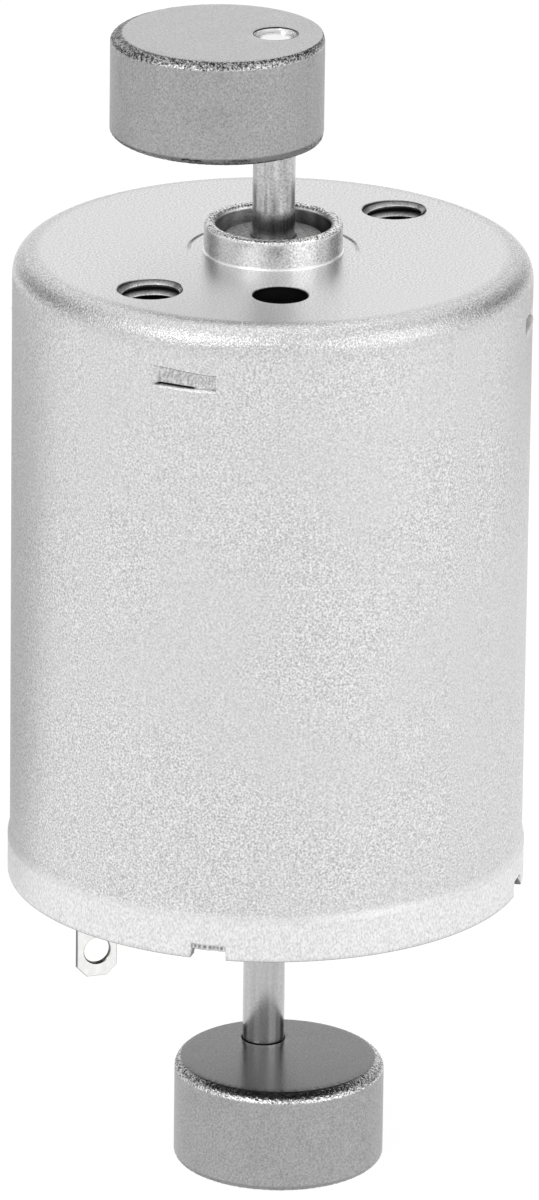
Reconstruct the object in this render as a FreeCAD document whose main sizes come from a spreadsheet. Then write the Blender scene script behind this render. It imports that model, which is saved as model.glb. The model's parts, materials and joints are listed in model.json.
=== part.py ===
import FreeCAD, Part
import math
import os

import Sketcher

# Small brushed DC vibration motor: a drawn steel can with a moulded end cap, and a shaft that comes out at
# both ends and carries an eccentric disc weight on each.
#
# Origin: centre of the can's front face, on the shaft's axis. +Z leaves the front face, and +X runs along
# the line of the two screw holes. Depths count down from the front face. Millimetres and degrees.

SIZES = [
    # Drawn can and its front boss
    ("can_radius", "12.2"),
    ("can_length", "31.0"),
    ("can_wall", "0.8"),
    ("face_thickness", "1.0"),
    ("shoulder_radius", "1.2"),
    ("inner_corner_break", "0.4"),
    ("boss_wall", "0.55"),
    ("boss_height", "1.4"),
    ("boss_edge_break", "0.14"),
    # Mouth of the can: ironed band, shelf for the end cap, staked notches
    ("band_height", "2.2"),
    ("band_flare", "0.1"),
    ("band_ramp", "0.25"),
    ("mouth_wall", "0.7"),
    ("mouth_depth", "2.2"),
    ("stake_count", "4"),
    ("stake_angle", "29.6"),
    ("stake_width", "1.6"),
    ("stake_notch_depth", "0.4"),
    ("stake_punch_rise", "0.3"),
    ("stake_punch_reach", "0.18"),
    ("stake_reach", "0.7"),
    ("stake_lug_height", "0.35"),
    ("stake_lug_tip_height", "0.18"),
    ("stake_lug_root", "0.23"),
    ("stake_rim_play", "0.1"),
    # Holes in the front face
    ("screw_spacing", "17.0"),
    ("screw_hole_radius", "1.5"),
    ("vent_place_radius", "6.9"),
    ("vent_radius", "1.3"),
    ("vent_angle", "225"),
    # Lanced stops that the magnets seat against
    ("stops_across", "2"),
    ("stop_depth", "3.0"),
    ("stop_height", "0.75"),
    ("stop_tab_rise", "0.25"),
    ("stop_tab_root", "0.2"),
    ("stop_width", "3.0"),
    ("stop_push", "0.62"),
    ("stop_spread", "51"),
    # Magnets and their springs
    ("magnet_axis", "73.75"),
    ("magnet_arc", "140"),
    ("magnet_thickness", "2.8"),
    ("magnet_overhang", "4.0"),
    ("spring_wire_width", "0.9"),
    ("spring_wall_play", "0.1"),
    ("spring_end_margin", "1.2"),
    # Sintered bearings
    ("bearing_radius", "2.7"),
    ("bearing_length", "2.3"),
    ("bearing_chamfer", "0.45"),
    ("bearing_clearance", "0.03"),
    ("bearing_recess", "0.7"),
    ("bearing_sink", "0.5"),
    # Moulded end cap
    ("cap_recess", "0.8"),
    ("cap_thickness", "1.5"),
    ("cap_spigot_height", "1.8"),
    ("cap_spigot_wall", "0.95"),
    ("cap_spigot_play", "0.05"),
    ("cap_boss_radius", "3.6"),
    ("cap_boss_wall", "0.7"),
    ("cap_boss_edge", "0.3"),
    ("cap_shaft_hole_play", "0.5"),
    ("cap_groove_inner", "4.7"),
    ("cap_groove_outer", "6.5"),
    ("cap_groove_depth", "0.4"),
    ("cap_vent_radius", "1.1"),
    ("cap_vent_place_radius", "8.6"),
    ("post_height", "2.4"),
    ("post_margin", "0.6"),
    ("land_height", "0.5"),
    # Terminals
    ("terminal_count", "2"),
    ("terminal_angle", "152"),
    ("terminal_width", "2.0"),
    ("terminal_thickness", "0.3"),
    ("terminal_inset", "1.9"),
    ("terminal_drop", "4.45"),
    ("terminal_corner", "0.5"),
    ("terminal_eye_radius", "0.65"),
    ("terminal_eye_rise", "1.3"),
    ("terminal_inner_height", "4.7"),
    ("terminal_slot_play", "0.03"),
    # Brush gear
    ("brush_plane_height", "3.5"),
    ("brush_width", "2.0"),
    ("brush_height", "1.6"),
    ("brush_length", "2.0"),
    ("brush_gap", "0.06"),
    ("arm_thickness", "0.2"),
    ("arm_width", "2.2"),
    ("arm_bend_radius", "0.5"),
    ("arm_tail", "0.5"),
    # Shaft and its spacers
    ("shaft_radius", "1.0"),
    ("shaft_chamfer", "0.15"),
    ("shaft_recess", "0.3"),
    ("end_play", "0.15"),
    ("washer_radius", "1.9"),
    ("washer_thickness", "0.4"),
    ("spacer_radius", "1.7"),
    ("spacer_length", "5.4"),
    # Armature
    ("air_gap", "0.4"),
    ("pole_count", "3"),
    ("pole_tip_angle", "104"),
    ("pole_tip_thickness", "1.3"),
    ("tooth_width", "3.0"),
    ("core_hub_radius", "2.9"),
    ("insulator_thickness", "0.4"),
    ("coil_thickness", "2.4"),
    ("coil_overhang", "2.0"),
    ("coil_play", "0.1"),
    ("coil_corner", "1.1"),
    # Commutator
    ("hub_radius", "2.1"),
    ("hub_length", "9.2"),
    ("segment_thickness", "0.4"),
    ("segment_length", "5.0"),
    ("segment_arc", "112"),
    ("segment_offset", "2.85"),
    ("riser_width", "1.4"),
    ("riser_reach", "1.8"),
    ("riser_thickness", "0.4"),
    ("varistor_play", "0.3"),
    ("varistor_width", "1.5"),
    ("varistor_thickness", "0.9"),
    # Eccentric weights
    ("weight_radius", "5.0"),
    ("weight_thickness", "5.0"),
    ("weight_offset", "2.7"),
    ("weight_chamfer", "0.35"),
    ("front_weight_gap", "5.5"),
    ("front_weight_angle", "131"),
    ("rear_weight_gap", "8.7"),
    ("rear_weight_angle", "-121.3"),
]

VERTICAL_AXIS, HORIZONTAL_AXIS = range(-2, 0)
START, END, CENTRE = range(1, 4)
HALF_TURN = 180.0
FULL_TURN = 360.0
OVERCUT = 1.0
SAME_EDGE = 1e-4


class Size:
    """A number from the sheet, or worked out from it, with the expression that ties it to the sheet."""

    def __init__(self, value, text):
        self.value = value
        self.text = text

    def __add__(self, other):
        other = as_size(other)
        return Size(self.value + other.value, "(%s + %s)" % (self.text, other.text))

    def __sub__(self, other):
        other = as_size(other)
        return Size(self.value - other.value, "(%s - %s)" % (self.text, other.text))

    def __mul__(self, other):
        other = as_size(other)
        return Size(self.value * other.value, "(%s * %s)" % (self.text, other.text))

    def __truediv__(self, other):
        other = as_size(other)
        return Size(self.value / other.value, "(%s / %s)" % (self.text, other.text))

    def __neg__(self):
        return Size(-self.value, "(0 - %s)" % self.text)


def as_size(number):
    """A plain number as a Size, so that both can stand in one sum."""
    return number if isinstance(number, Size) else Size(float(number), "(%r)" % float(number))


def cosine(angle):
    return Size(math.cos(math.radians(angle.value)), "cos(%s)" % angle.text)


def sine(angle):
    return Size(math.sin(math.radians(angle.value)), "sin(%s)" % angle.text)


doc = FreeCAD.newDocument("vibration_motor")
sheet = doc.addObject("Spreadsheet::Sheet", "Sizes")
for row, (name, number) in enumerate(SIZES, 1):
    sheet.set("A%d" % row, name)
    sheet.set("B%d" % row, number)
    sheet.setAlias("B%d" % row, name)
doc.recompute()


class Sheet:
    """The sheet's cells by name, each as a Size."""


size = Sheet()
for name, number in SIZES:
    setattr(size, name, Size(float(sheet.get(name)), "Sizes." + name))


# ---------------------------------------------------------------- sketches and features

def new_body(name):
    body = doc.addObject("PartDesign::Body", name)
    body.Label = name
    return body


def origin_part(body, role):
    return next(item for item in body.Origin.OriginFeatures if item.Role == role)


def new_sketch(body, name, plane, lift=None, turn=None):
    """Sketch on an origin plane, lifted along the plane's normal or, on XZ_Plane, turned about Z."""
    sketch = body.newObject("Sketcher::SketchObject", name)
    sketch.AttachmentSupport = [(origin_part(body, plane), "")]
    sketch.MapMode = "FlatFace"
    if lift is not None:
        place = FreeCAD.Vector(0, 0, lift.value)
        sketch.AttachmentOffset = FreeCAD.Placement(place, FreeCAD.Rotation())
        sketch.setExpression("AttachmentOffset.Base.z", lift.text)
    if turn is not None:
        rotation = FreeCAD.Rotation(FreeCAD.Vector(0, 1, 0), turn.value)
        sketch.AttachmentOffset = FreeCAD.Placement(FreeCAD.Vector(), rotation)
        sketch.setExpression("AttachmentOffset.Rotation.Angle", turn.text)
    return sketch


def tie(sketch, constraint, number):
    """Adds a dimension whose value follows the sheet."""
    index = sketch.addConstraint(constraint)
    sketch.setExpression("Constraints[%d]" % index, number.text)


def fix_point(sketch, edge, point, across, up):
    """Ties a point of an edge to the sketch's axes; a plain 0 puts it on the axis itself."""
    if isinstance(across, Size):
        tie(sketch, Sketcher.Constraint("DistanceX", edge, point, across.value), across)
    else:
        sketch.addConstraint(Sketcher.Constraint("PointOnObject", edge, point, VERTICAL_AXIS))
    if isinstance(up, Size):
        tie(sketch, Sketcher.Constraint("DistanceY", edge, point, up.value), up)
    else:
        sketch.addConstraint(Sketcher.Constraint("PointOnObject", edge, point, HORIZONTAL_AXIS))


def outline(sketch, corners):
    """Closed outline of straight edges through the corners."""
    first = sketch.GeometryCount
    count = len(corners)
    spots = [FreeCAD.Vector(as_size(across).value, as_size(up).value, 0) for across, up in corners]
    for number in range(count):
        sketch.addGeometry(Part.LineSegment(spots[number], spots[(number + 1) % count]), False)
    for number in range(count):
        following = first + (number + 1) % count
        sketch.addConstraint(Sketcher.Constraint("Coincident", first + number, END, following, START))
    for number, (across, up) in enumerate(corners):
        fix_point(sketch, first + number, START, across, up)


def rectangle(sketch, left, right, low, high):
    outline(sketch, [(left, low), (right, low), (right, high), (left, high)])


def circle(sketch, across, up, radius):
    centre = FreeCAD.Vector(as_size(across).value, as_size(up).value, 0)
    edge = sketch.addGeometry(Part.Circle(centre, FreeCAD.Vector(0, 0, 1), radius.value), False)
    fix_point(sketch, edge, CENTRE, across, up)
    tie(sketch, Sketcher.Constraint("Radius", edge, radius.value), radius)


def feature(body, kind, name, sketch):
    item = body.newObject("PartDesign::" + kind, name)
    item.Profile = sketch
    return item


def pad(body, name, sketch, length, centred=False):
    item = feature(body, "Pad", name, sketch)
    item.Midplane = centred
    item.setExpression("Length", length.text)
    doc.recompute()
    return item


def revolve(body, name, sketch, arc=None):
    """Solid of revolution about the sketch's upright axis: a full turn, or an arc centred on the sketch."""
    item = feature(body, "Revolution", name, sketch)
    item.ReferenceAxis = (sketch, ["V_Axis"])
    item.Angle = FULL_TURN
    if arc is not None:
        item.Midplane = True
        item.setExpression("Angle", arc.text)
    doc.recompute()
    return item


def check_cut(body, item, before):
    """A cut that points away from the solid removes nothing and raises no error, so volumes are compared."""
    if item.Shape.isNull() or item.Shape.Volume >= before:
        raise RuntimeError("%s removes nothing from %s" % (item.Label, body.Label))


def pocket(body, name, sketch, length, centred=False, against_normal=True):
    before = body.Shape.Volume
    item = feature(body, "Pocket", name, sketch)
    item.Midplane = centred
    item.Reversed = not against_normal
    item.setExpression("Length", length.text)
    doc.recompute()
    check_cut(body, item, before)
    return item


def groove(body, name, sketch):
    before = body.Shape.Volume
    item = feature(body, "Groove", name, sketch)
    item.ReferenceAxis = (sketch, ["V_Axis"])
    item.Angle = FULL_TURN
    doc.recompute()
    check_cut(body, item, before)
    return item


def polar_pattern(body, name, originals, count):
    """Copies features round the body's own Z axis."""
    item = body.newObject("PartDesign::PolarPattern", name)
    item.Originals = originals
    item.Axis = (origin_part(body, "Z_Axis"), [""])
    item.Angle = FULL_TURN
    item.setExpression("Occurrences", count.text)
    body.Tip = item
    doc.recompute()
    return item


def ring_edges(body, radius, height):
    """Names of the circular edges with this radius, about Z, at this height of the body's own frame."""
    base = body.Tip
    names = []
    for number, edge in enumerate(base.Shape.Edges, 1):
        curve = edge.Curve
        if not isinstance(curve, Part.Circle):
            continue
        on_axis = math.hypot(curve.Center.x, curve.Center.y) < SAME_EDGE
        same_radius = abs(curve.Radius - radius.value) < SAME_EDGE
        if on_axis and same_radius and abs(curve.Center.z - as_size(height).value) < SAME_EDGE:
            names.append("Edge%d" % number)
    return names


def straight_edges(body, direction, wanted):
    """Names of the straight edges along a direction whose middle passes a test."""
    names = []
    for number, edge in enumerate(body.Tip.Shape.Edges, 1):
        if not isinstance(edge.Curve, Part.Line):
            continue
        along = abs(edge.tangentAt(edge.FirstParameter).dot(direction)) > 1 - SAME_EDGE
        if along and wanted(edge.CenterOfMass):
            names.append("Edge%d" % number)
    return names


def upright_edges(body, across, along):
    """Names of the edges parallel to Z at one place in the body's own XY plane."""
    def at_place(spot):
        return math.hypot(spot.x - across.value, spot.y - along.value) < SAME_EDGE

    return straight_edges(body, FreeCAD.Vector(0, 0, 1), at_place)


def dress(body, kind, name, edges, amount):
    """Fillet or chamfer on named edges of the body's last feature."""
    base = body.Tip
    item = body.newObject("PartDesign::" + kind, name)
    item.Base = (base, edges)
    item.setExpression("Radius" if kind == "Fillet" else "Size", amount.text)
    doc.recompute()
    return item


def place_body(body, turn=None, height=None):
    """Puts a finished body in the motor: turned about the shaft's axis and set at a height."""
    if height is not None:
        body.setExpression("Placement.Base.z", height.text)
    if turn is not None:
        body.setExpression("Placement.Rotation.Angle", turn.text)


# ---------------------------------------------------------------- places that several pieces share

can_bore = size.can_radius - size.can_wall
boss_radius = size.bearing_radius + size.boss_wall
band_radius = size.can_radius + size.band_flare
band_top = size.can_length - size.band_height
mouth_radius = band_radius - size.mouth_wall
shelf_depth = size.can_length - size.mouth_depth
cap_outer_depth = size.can_length - size.cap_recess
cap_inner_depth = cap_outer_depth - size.cap_thickness

front_bearing_top = size.boss_height - size.bearing_recess
front_bearing_bottom = front_bearing_top - size.bearing_length
rear_bearing_top = -(cap_inner_depth + size.bearing_sink)
rear_bearing_bottom = rear_bearing_top - size.bearing_length
cap_boss_end = rear_bearing_bottom - size.cap_boss_wall

front_washer_top = front_bearing_bottom - size.end_play
spacer_top = front_washer_top - size.washer_thickness
front_insulator_top = spacer_top - size.spacer_length
core_top = front_insulator_top - size.insulator_thickness
rear_washer_bottom = rear_bearing_top + size.end_play
hub_bottom = rear_washer_bottom + size.washer_thickness
hub_top = hub_bottom + size.hub_length
core_bottom = hub_top + size.insulator_thickness

core_radius = can_bore - size.magnet_thickness - size.air_gap
tip_inner_radius = core_radius - size.pole_tip_thickness
magnet_bottom = core_bottom - size.magnet_overhang
commutator_radius = size.hub_radius + size.segment_thickness
riser_top = hub_top - size.segment_offset

brush_plane = -cap_inner_depth + size.brush_plane_height
terminal_outer = can_bore - size.terminal_inset
terminal_inner = terminal_outer - size.terminal_width
terminal_middle = terminal_outer - size.terminal_width / 2

front_weight_bottom = size.front_weight_gap
rear_weight_top = -(size.can_length + size.rear_weight_gap)
rear_weight_bottom = rear_weight_top - size.weight_thickness


def tube(name, inner, outer, bottom, height):
    """Turned ring about Z: washers, spacers, the commutator hub and the varistor."""
    body = new_body(name)
    sketch = new_sketch(body, name + "_section", "XZ_Plane")
    rectangle(sketch, inner, outer, bottom, bottom + height)
    revolve(body, name + "_turned", sketch)
    return body


# ---------------------------------------------------------------- can

def drawn_can():
    """Deep-drawn steel can: boss, shoulder, ironed band at the mouth, shelf for the end cap."""
    body = new_body("can")
    section = new_sketch(body, "can_section", "XZ_Plane")
    outline(section, [
        (size.bearing_radius, size.boss_height),
        (boss_radius, size.boss_height),
        (boss_radius, 0),
        (size.can_radius, 0),
        (size.can_radius, -band_top),
        (band_radius, -(band_top + size.band_ramp)),
        (band_radius, -size.can_length),
        (mouth_radius, -size.can_length),
        (mouth_radius, -shelf_depth),
        (can_bore, -shelf_depth),
        (can_bore, -size.face_thickness),
        (size.bearing_radius, -size.face_thickness),
    ])
    revolve(body, "can_drawn", section)
    dress(body, "Fillet", "shoulder", ring_edges(body, size.can_radius, 0), size.shoulder_radius)
    corner = ring_edges(body, can_bore, -size.face_thickness)
    dress(body, "Chamfer", "inner_corner", corner, size.inner_corner_break)
    rims = ring_edges(body, boss_radius, size.boss_height)
    rims += ring_edges(body, size.bearing_radius, size.boss_height)
    dress(body, "Chamfer", "boss_edges", rims, size.boss_edge_break)

    holes = new_sketch(body, "screw_hole_places", "XY_Plane")
    circle(holes, size.screw_spacing / 2, 0, size.screw_hole_radius)
    circle(holes, -size.screw_spacing / 2, 0, size.screw_hole_radius)
    pocket(body, "screw_holes", holes, size.face_thickness + OVERCUT)

    vent = new_sketch(body, "vent_place", "XY_Plane")
    vent_x = size.vent_place_radius * cosine(size.vent_angle)
    vent_y = size.vent_place_radius * sine(size.vent_angle)
    circle(vent, vent_x, vent_y, size.vent_radius)
    pocket(body, "vent", vent, size.face_thickness + OVERCUT)

    add_stop(body, "left", size.magnet_axis - size.stop_spread)
    add_stop(body, "right", size.magnet_axis + size.stop_spread)
    add_stakes(body)
    return body


def add_stop(body, side, turn):
    """Two opposite tabs, sheared along their lower edge and pushed inwards as seats for the magnets."""
    tab = new_sketch(body, "stop_tab_section_" + side, "XZ_Plane", turn=turn)
    tab_root = can_bore + size.stop_tab_root
    tab_tip = can_bore - size.stop_push
    outline(tab, [
        (tab_root, -size.stop_depth + size.stop_height + size.stop_tab_rise),
        (tab_root, -size.stop_depth),
        (tab_tip, -size.stop_depth),
    ])
    pushed_in = pad(body, "stop_tab_" + side, tab, size.stop_width, centred=True)
    polar_pattern(body, "stop_tabs_" + side, [pushed_in], size.stops_across)
    dent = new_sketch(body, "stop_dent_section_" + side, "XZ_Plane", turn=turn)
    dent_top = -size.stop_depth + size.stop_height
    outline(dent, [
        (size.can_radius, dent_top),
        (size.can_radius + OVERCUT, dent_top),
        (size.can_radius + OVERCUT, -size.stop_depth),
        (size.can_radius - size.stop_push, -size.stop_depth),
    ])
    sheared = pocket(body, "stop_dent_" + side, dent, size.stop_width, centred=True)
    polar_pattern(body, "stop_dents_" + side, [sheared], size.stops_across)


def add_stakes(body):
    """Punched notches in the rim; the metal from each is folded in over the end cap."""
    lug = new_sketch(body, "stake_lug_section", "XZ_Plane", turn=size.stake_angle)
    lug_root = mouth_radius + size.stake_lug_root
    lug_tip = mouth_radius - size.stake_reach
    outline(lug, [
        (lug_root, -cap_outer_depth),
        (lug_tip, -cap_outer_depth),
        (lug_tip, -(cap_outer_depth + size.stake_lug_tip_height)),
        (lug_root, -(cap_outer_depth + size.stake_lug_height)),
    ])
    folded = pad(body, "stake_lug", lug, size.stake_width, centred=True)
    polar_pattern(body, "stake_lugs", [folded], size.stake_count)
    notch = new_sketch(body, "stake_notch_section", "XZ_Plane", turn=size.stake_angle)
    notch_top = -size.can_length + size.stake_notch_depth
    outline(notch, [
        (mouth_radius - size.stake_rim_play, notch_top),
        (band_radius - size.stake_punch_reach, notch_top),
        (band_radius, notch_top + size.stake_punch_rise),
        (band_radius + OVERCUT, notch_top + size.stake_punch_rise),
        (band_radius + OVERCUT, -(size.can_length + OVERCUT)),
        (mouth_radius - size.stake_rim_play, -(size.can_length + OVERCUT)),
    ])
    punched = pocket(body, "stake_notch", notch, size.stake_width, centred=True)
    polar_pattern(body, "stake_notches", [punched], size.stake_count)


# ---------------------------------------------------------------- bearings, magnets, springs

def bearing(name, bottom):
    """Sintered bush with broken corners; the shaft runs in it with a small clearance."""
    bore = size.shaft_radius + size.bearing_clearance
    body = tube(name, bore, size.bearing_radius, bottom, size.bearing_length)
    corners = ring_edges(body, size.bearing_radius, bottom)
    corners += ring_edges(body, size.bearing_radius, bottom + size.bearing_length)
    dress(body, "Chamfer", name + "_corners", corners, size.bearing_chamfer)
    return body


def magnet(name, turn):
    """Ferrite arc, seated against the can's wall and under its two lanced stops."""
    body = new_body(name)
    section = new_sketch(body, name + "_section", "XZ_Plane")
    rectangle(section, can_bore - size.magnet_thickness, can_bore, magnet_bottom, -size.stop_depth)
    revolve(body, name + "_arc", section, arc=size.magnet_arc)
    place_body(body, turn=turn)
    return body


def magnet_spring(name, turn):
    """Hairpin of square wire between the ends of the two magnets, which it pushes apart."""
    body = new_body(name)
    half_wire = size.spring_wire_width / 2
    half_gap = as_size(HALF_TURN / 2) - size.magnet_arc / 2
    place_radius = (can_bore - size.spring_wall_play) * cosine(half_gap) - half_wire
    leg_offset = (place_radius - half_wire) * sine(half_gap) / cosine(half_gap) - half_wire
    bend_height = -(size.stop_depth + size.spring_end_margin + half_wire) - leg_offset
    leg_bottom = magnet_bottom + size.spring_end_margin
    path = new_sketch(body, name + "_path", "YZ_Plane", lift=place_radius)
    foot = FreeCAD.Vector(leg_offset.value, leg_bottom.value, 0)
    shoulder = FreeCAD.Vector(leg_offset.value, bend_height.value, 0)
    far_shoulder = FreeCAD.Vector(-leg_offset.value, bend_height.value, 0)
    far_foot = FreeCAD.Vector(-leg_offset.value, leg_bottom.value, 0)
    bend_centre = FreeCAD.Vector(0, bend_height.value, 0)
    bend_circle = Part.Circle(bend_centre, FreeCAD.Vector(0, 0, 1), leg_offset.value)
    leg = path.addGeometry(Part.LineSegment(foot, shoulder), False)
    bend = path.addGeometry(Part.ArcOfCircle(bend_circle, 0, math.pi), False)
    far_leg = path.addGeometry(Part.LineSegment(far_shoulder, far_foot), False)
    fix_point(path, leg, START, leg_offset, leg_bottom)
    fix_point(path, leg, END, leg_offset, bend_height)
    fix_point(path, bend, CENTRE, 0, bend_height)
    path.addConstraint(Sketcher.Constraint("Coincident", leg, END, bend, START))
    path.addConstraint(Sketcher.Constraint("Horizontal", bend, CENTRE, bend, END))
    path.addConstraint(Sketcher.Constraint("Coincident", bend, END, far_leg, START))
    path.addConstraint(Sketcher.Constraint("Vertical", far_leg))
    tie(path, Sketcher.Constraint("DistanceY", far_leg, END, leg_bottom.value), leg_bottom)
    section = new_sketch(body, name + "_section", "XY_Plane", lift=leg_bottom)
    rectangle(
        section,
        place_radius - half_wire,
        place_radius + half_wire,
        leg_offset - half_wire,
        leg_offset + half_wire,
    )
    doc.recompute()
    wire = body.newObject("PartDesign::AdditivePipe", name + "_wire")
    wire.Profile = section
    wire.Spine = (path, [])
    doc.recompute()
    place_body(body, turn=turn)
    return body


# ---------------------------------------------------------------- end cap

def end_cap():
    """Moulded nylon cap: flange on the can's shelf, spigot, bearing boss, terminal posts and vents."""
    body = new_body("end_cap")
    spigot_radius = can_bore - size.cap_spigot_play
    spigot_top = -cap_inner_depth + size.cap_spigot_height
    shaft_hole = size.shaft_radius + size.cap_shaft_hole_play
    section = new_sketch(body, "cap_section", "XZ_Plane")
    outline(section, [
        (shaft_hole, cap_boss_end),
        (size.cap_boss_radius, cap_boss_end),
        (size.cap_boss_radius, -cap_outer_depth),
        (size.cap_groove_inner, -cap_outer_depth),
        (size.cap_groove_inner, -cap_outer_depth + size.cap_groove_depth),
        (size.cap_groove_outer, -cap_outer_depth + size.cap_groove_depth),
        (size.cap_groove_outer, -cap_outer_depth),
        (mouth_radius, -cap_outer_depth),
        (mouth_radius, -shelf_depth),
        (spigot_radius, -shelf_depth),
        (spigot_radius, spigot_top),
        (spigot_radius - size.cap_spigot_wall, spigot_top),
        (spigot_radius - size.cap_spigot_wall, -cap_inner_depth),
        (size.bearing_radius, -cap_inner_depth),
        (size.bearing_radius, rear_bearing_bottom),
        (shaft_hole, rear_bearing_bottom),
    ])
    revolve(body, "cap_moulding", section)
    edges = ring_edges(body, size.cap_boss_radius, cap_boss_end)
    dress(body, "Chamfer", "cap_boss_chamfer", edges, size.cap_boss_edge)

    half_width = size.terminal_thickness / 2 + size.post_margin
    near = terminal_inner - size.post_margin
    far = terminal_outer + size.post_margin
    posts = new_sketch(body, "terminal_post_places", "XY_Plane", lift=-cap_inner_depth)
    rectangle(posts, near, far, -half_width, half_width)
    post = pad(body, "terminal_post", posts, size.post_height)
    lands = new_sketch(body, "terminal_land_places", "XY_Plane", lift=-(cap_outer_depth + size.land_height))
    rectangle(lands, near, far, -half_width, half_width)
    land = pad(body, "terminal_land", lands, size.land_height)
    polar_pattern(body, "terminal_posts", [post, land], size.terminal_count)

    slot_half = size.terminal_thickness / 2 + size.terminal_slot_play
    slot_length = size.land_height + size.cap_thickness + size.post_height
    slots = new_sketch(body, "terminal_slot_places", "XY_Plane", lift=-cap_inner_depth + size.post_height)
    slot_near = terminal_inner - size.terminal_slot_play
    slot_far = terminal_outer + size.terminal_slot_play
    rectangle(slots, slot_near, slot_far, -slot_half, slot_half)
    rectangle(slots, -slot_far, -slot_near, -slot_half, slot_half)
    pocket(body, "terminal_slots", slots, slot_length)

    vents = new_sketch(body, "cap_vent_places", "XY_Plane", lift=-cap_inner_depth)
    circle(vents, 0, size.cap_vent_place_radius, size.cap_vent_radius)
    circle(vents, 0, -size.cap_vent_place_radius, size.cap_vent_radius)
    pocket(body, "cap_vents", vents, size.cap_thickness)
    place_body(body, turn=size.terminal_angle)
    return body


# ---------------------------------------------------------------- terminals and brush gear

def terminal(name, turn):
    """Stamped brass blade in a radial plane, with a solder eye and cut corners at its outer end."""
    body = new_body(name)
    tip = -(size.can_length + size.terminal_drop)
    top = -cap_inner_depth + size.terminal_inner_height
    sketch = new_sketch(body, name + "_blank", "XZ_Plane")
    outline(sketch, [
        (terminal_inner, top),
        (terminal_inner, tip + size.terminal_corner),
        (terminal_inner + size.terminal_corner, tip),
        (terminal_outer - size.terminal_corner, tip),
        (terminal_outer, tip + size.terminal_corner),
        (terminal_outer, top),
    ])
    circle(sketch, terminal_middle, tip + size.terminal_eye_rise, size.terminal_eye_radius)
    pad(body, name + "_stamping", sketch, size.terminal_thickness, centred=True)
    place_body(body, turn=turn)
    return body


def brush_arm(name, turn):
    """Bronze leaf spring: its foot stands off the terminal's side, its blade runs on behind the brush."""
    body = new_body(name)
    face = commutator_radius + size.brush_gap + size.brush_length
    foot_right = terminal_middle + size.arm_thickness / 2
    foot_left = terminal_middle - size.arm_thickness / 2
    foot_start = size.terminal_thickness / 2
    blade_end = -(size.brush_width / 2 + size.arm_tail)
    sketch = new_sketch(body, name + "_strip", "XY_Plane", lift=brush_plane - size.arm_width / 2)
    outline(sketch, [
        (foot_left, foot_start),
        (foot_right, foot_start),
        (foot_right, face + size.arm_thickness),
        (blade_end, face + size.arm_thickness),
        (blade_end, face),
        (foot_left, face),
    ])
    pad(body, name + "_blade", sketch, size.arm_width)
    inner = upright_edges(body, foot_left, face)
    dress(body, "Fillet", name + "_inner_bend", inner, size.arm_bend_radius)
    outer = upright_edges(body, foot_right, face + size.arm_thickness)
    dress(body, "Fillet", name + "_outer_bend", outer, size.arm_bend_radius + size.arm_thickness)
    place_body(body, turn=turn)
    return body


def brush(name, turn):
    """Carbon brush whose face is worn to the commutator's radius."""
    body = new_body(name)
    running_radius = commutator_radius + size.brush_gap
    bottom = brush_plane - size.brush_height / 2
    sketch = new_sketch(body, name + "_block", "XY_Plane", lift=bottom)
    half = size.brush_width / 2
    rectangle(sketch, -half, half, commutator_radius - size.brush_gap, running_radius + size.brush_length)
    pad(body, name + "_pressed", sketch, size.brush_height)
    worn = new_sketch(body, name + "_worn_face", "XY_Plane", lift=bottom + size.brush_height)
    circle(worn, 0, 0, running_radius)
    pocket(body, name + "_bedded", worn, size.brush_height)
    place_body(body, turn=turn)
    return body


# ---------------------------------------------------------------- shaft and armature

def shaft():
    """Ground steel pin, long enough to carry a weight at both ends."""
    body = new_body("shaft")
    top = size.front_weight_gap + size.weight_thickness - size.shaft_recess
    bottom = rear_weight_bottom + size.shaft_recess
    section = new_sketch(body, "shaft_section", "XZ_Plane")
    outline(section, [
        (0, top),
        (size.shaft_radius - size.shaft_chamfer, top),
        (size.shaft_radius, top - size.shaft_chamfer),
        (size.shaft_radius, bottom + size.shaft_chamfer),
        (size.shaft_radius - size.shaft_chamfer, bottom),
        (0, bottom),
    ])
    revolve(body, "shaft_ground", section)
    return body


def pole_star(name, bottom, height, tooth_end):
    """Hub with one parallel tooth for each pole, bored for the shaft: the end insulators' shape."""
    body = new_body(name)
    hub = new_sketch(body, name + "_hub_section", "XZ_Plane")
    rectangle(hub, size.shaft_radius, size.core_hub_radius, bottom, bottom + height)
    revolve(body, name + "_hub", hub)
    tooth = new_sketch(body, name + "_tooth_section", "XY_Plane", lift=bottom)
    root = (size.shaft_radius + size.core_hub_radius) / 2
    rectangle(tooth, root, tooth_end, -size.tooth_width / 2, size.tooth_width / 2)
    arm = pad(body, name + "_tooth", tooth, height)
    polar_pattern(body, name + "_teeth", [arm], size.pole_count)
    return body


def armature_core():
    """Stack of laminations, pressed on the shaft: the star's teeth end in wide pole tips."""
    tooth_end = (tip_inner_radius + core_radius) / 2
    body = pole_star("armature_core", core_bottom, core_top - core_bottom, tooth_end)
    shoe = new_sketch(body, "pole_tip_section", "XZ_Plane")
    rectangle(shoe, tip_inner_radius, core_radius, core_bottom, core_top)
    pole_tip = revolve(body, "pole_tip", shoe, arc=size.pole_tip_angle)
    polar_pattern(body, "pole_tips", [pole_tip], size.pole_count)
    return body


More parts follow.
